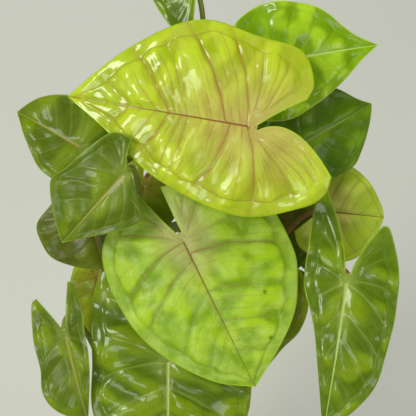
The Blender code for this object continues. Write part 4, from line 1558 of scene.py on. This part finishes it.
@dataclass(frozen=True)
class Lamp:
    """Square soft lamp: its place, the side of its face and its power in watts."""

    name: str
    at: Spot
    size: float
    power: float
    colour: Spot
    gloss: bool = True

    def hang(self, target: Vector) -> None:
        """Hangs the lamp.

        Args:
            target: Where it points.
        """
        light = bpy.data.lights.new(self.name, "AREA")
        light.energy = self.power
        light.color = self.colour
        light.size = self.size
        lamp = bpy.data.objects.new(self.name, light)
        lamp.location = self.at
        lamp.rotation_euler = (target - lamp.location).to_track_quat("-Z", "Y").to_euler()
        lamp.visible_glossy = self.gloss
        bpy.context.scene.collection.objects.link(lamp)


@dataclass
class Studio:
    """Pale floor, camera and soft lights for the photograph's view."""

    lamps: tuple[Lamp, ...] = (
        Lamp("window", (-0.80, -0.90, 1.30), 0.5, 15.0, (1.0, 0.98, 0.90)),
        Lamp("low_window", (-0.30, -1.17, 0.68), 0.42, 4.0, (1.0, 0.98, 0.92)),
        Lamp("sky_panel", (0.25, 0.15, 1.6), 0.9, 8.0, (0.98, 1.0, 0.94), gloss=False),
        Lamp("back_fill", (-0.2, 1.4, 0.8), 1.0, 6.0, (1.0, 1.0, 0.95), gloss=False),
        Lamp("side_fill", (0.9, -0.9, 0.6), 0.6, 3.0, (1.0, 0.98, 0.92)))
    target: Spot = (0.018, 0.010, 0.271)
    distance: float = 0.75
    elevation: float = 35.0
    lens: float = 129.8
    floor_side: float = 6.0
    room_light: float = 0.32

    def camera(self) -> None:
        """Sets the camera at the photograph's angle."""
        rise = math.radians(self.elevation)
        lens = bpy.data.cameras.new("view")
        lens.lens = self.lens
        lens.sensor_width = 36.0
        lens.clip_start = 0.02
        seen = bpy.data.objects.new("view", lens)
        aim = Vector(self.target)
        seen.location = aim + Vector((0, -math.cos(rise), math.sin(rise))) * self.distance
        seen.rotation_euler = (aim - seen.location).to_track_quat("-Z", "Y").to_euler()
        bpy.context.scene.collection.objects.link(seen)
        bpy.context.scene.camera = seen

    def floor(self) -> None:
        """Lays a plain pale floor."""
        bpy.ops.mesh.primitive_plane_add(size=self.floor_side)
        laid = bpy.context.object
        laid.name = "studio_floor"
        p = Patch("studio_floor")
        p.base = tone(200, 202, 194)
        p.dress(p.base, Roughness=0.9)
        laid.data.materials.append(p.material)
        laid.visible_glossy = False

    def air(self) -> None:
        """Sets the soft light of the room."""
        world = bpy.data.worlds.new("room")
        world.use_nodes = True
        glow = world.node_tree.nodes["Background"].inputs
        glow["Color"].default_value = (0.93, 0.94, 0.88, 1)
        glow["Strength"].default_value = self.room_light
        bpy.context.scene.world = world
        world.cycles_visibility.glossy = False

    def build(self) -> None:
        """Sets up the floor, camera, lamps and room."""
        self.floor()
        self.camera()
        self.air()
        for lamp in self.lamps:
            lamp.hang(Vector(self.target))
        bpy.context.scene.view_settings.view_transform = "Standard"


def main() -> None:
    """Builds the plant, its pot and the studio."""
    logging.basicConfig(level=logging.INFO, format="%(name)s: %(message)s")
    bed = SoilBed()
    pieces = [Leaf(form).build() for form in FOLIAGE]
    pieces += [Pot().build(), bed.build(),
               bed.scatter("bark_bits", bed.bark, 150, (2.0, 1.1, 0.6), 5),
               bed.scatter("soil_clods", bed.clods, 260, (1.1, 0.9, 0.7), 11),
               bed.scatter("pale_grit", bed.grit, 90, (0.9, 0.8, 0.6), 23)]
    for piece in pieces:
        log.info("%s: %d faces", piece.name, len(piece.data.polygons))
    Studio().build()
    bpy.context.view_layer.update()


if __name__ == "__main__":
    main()
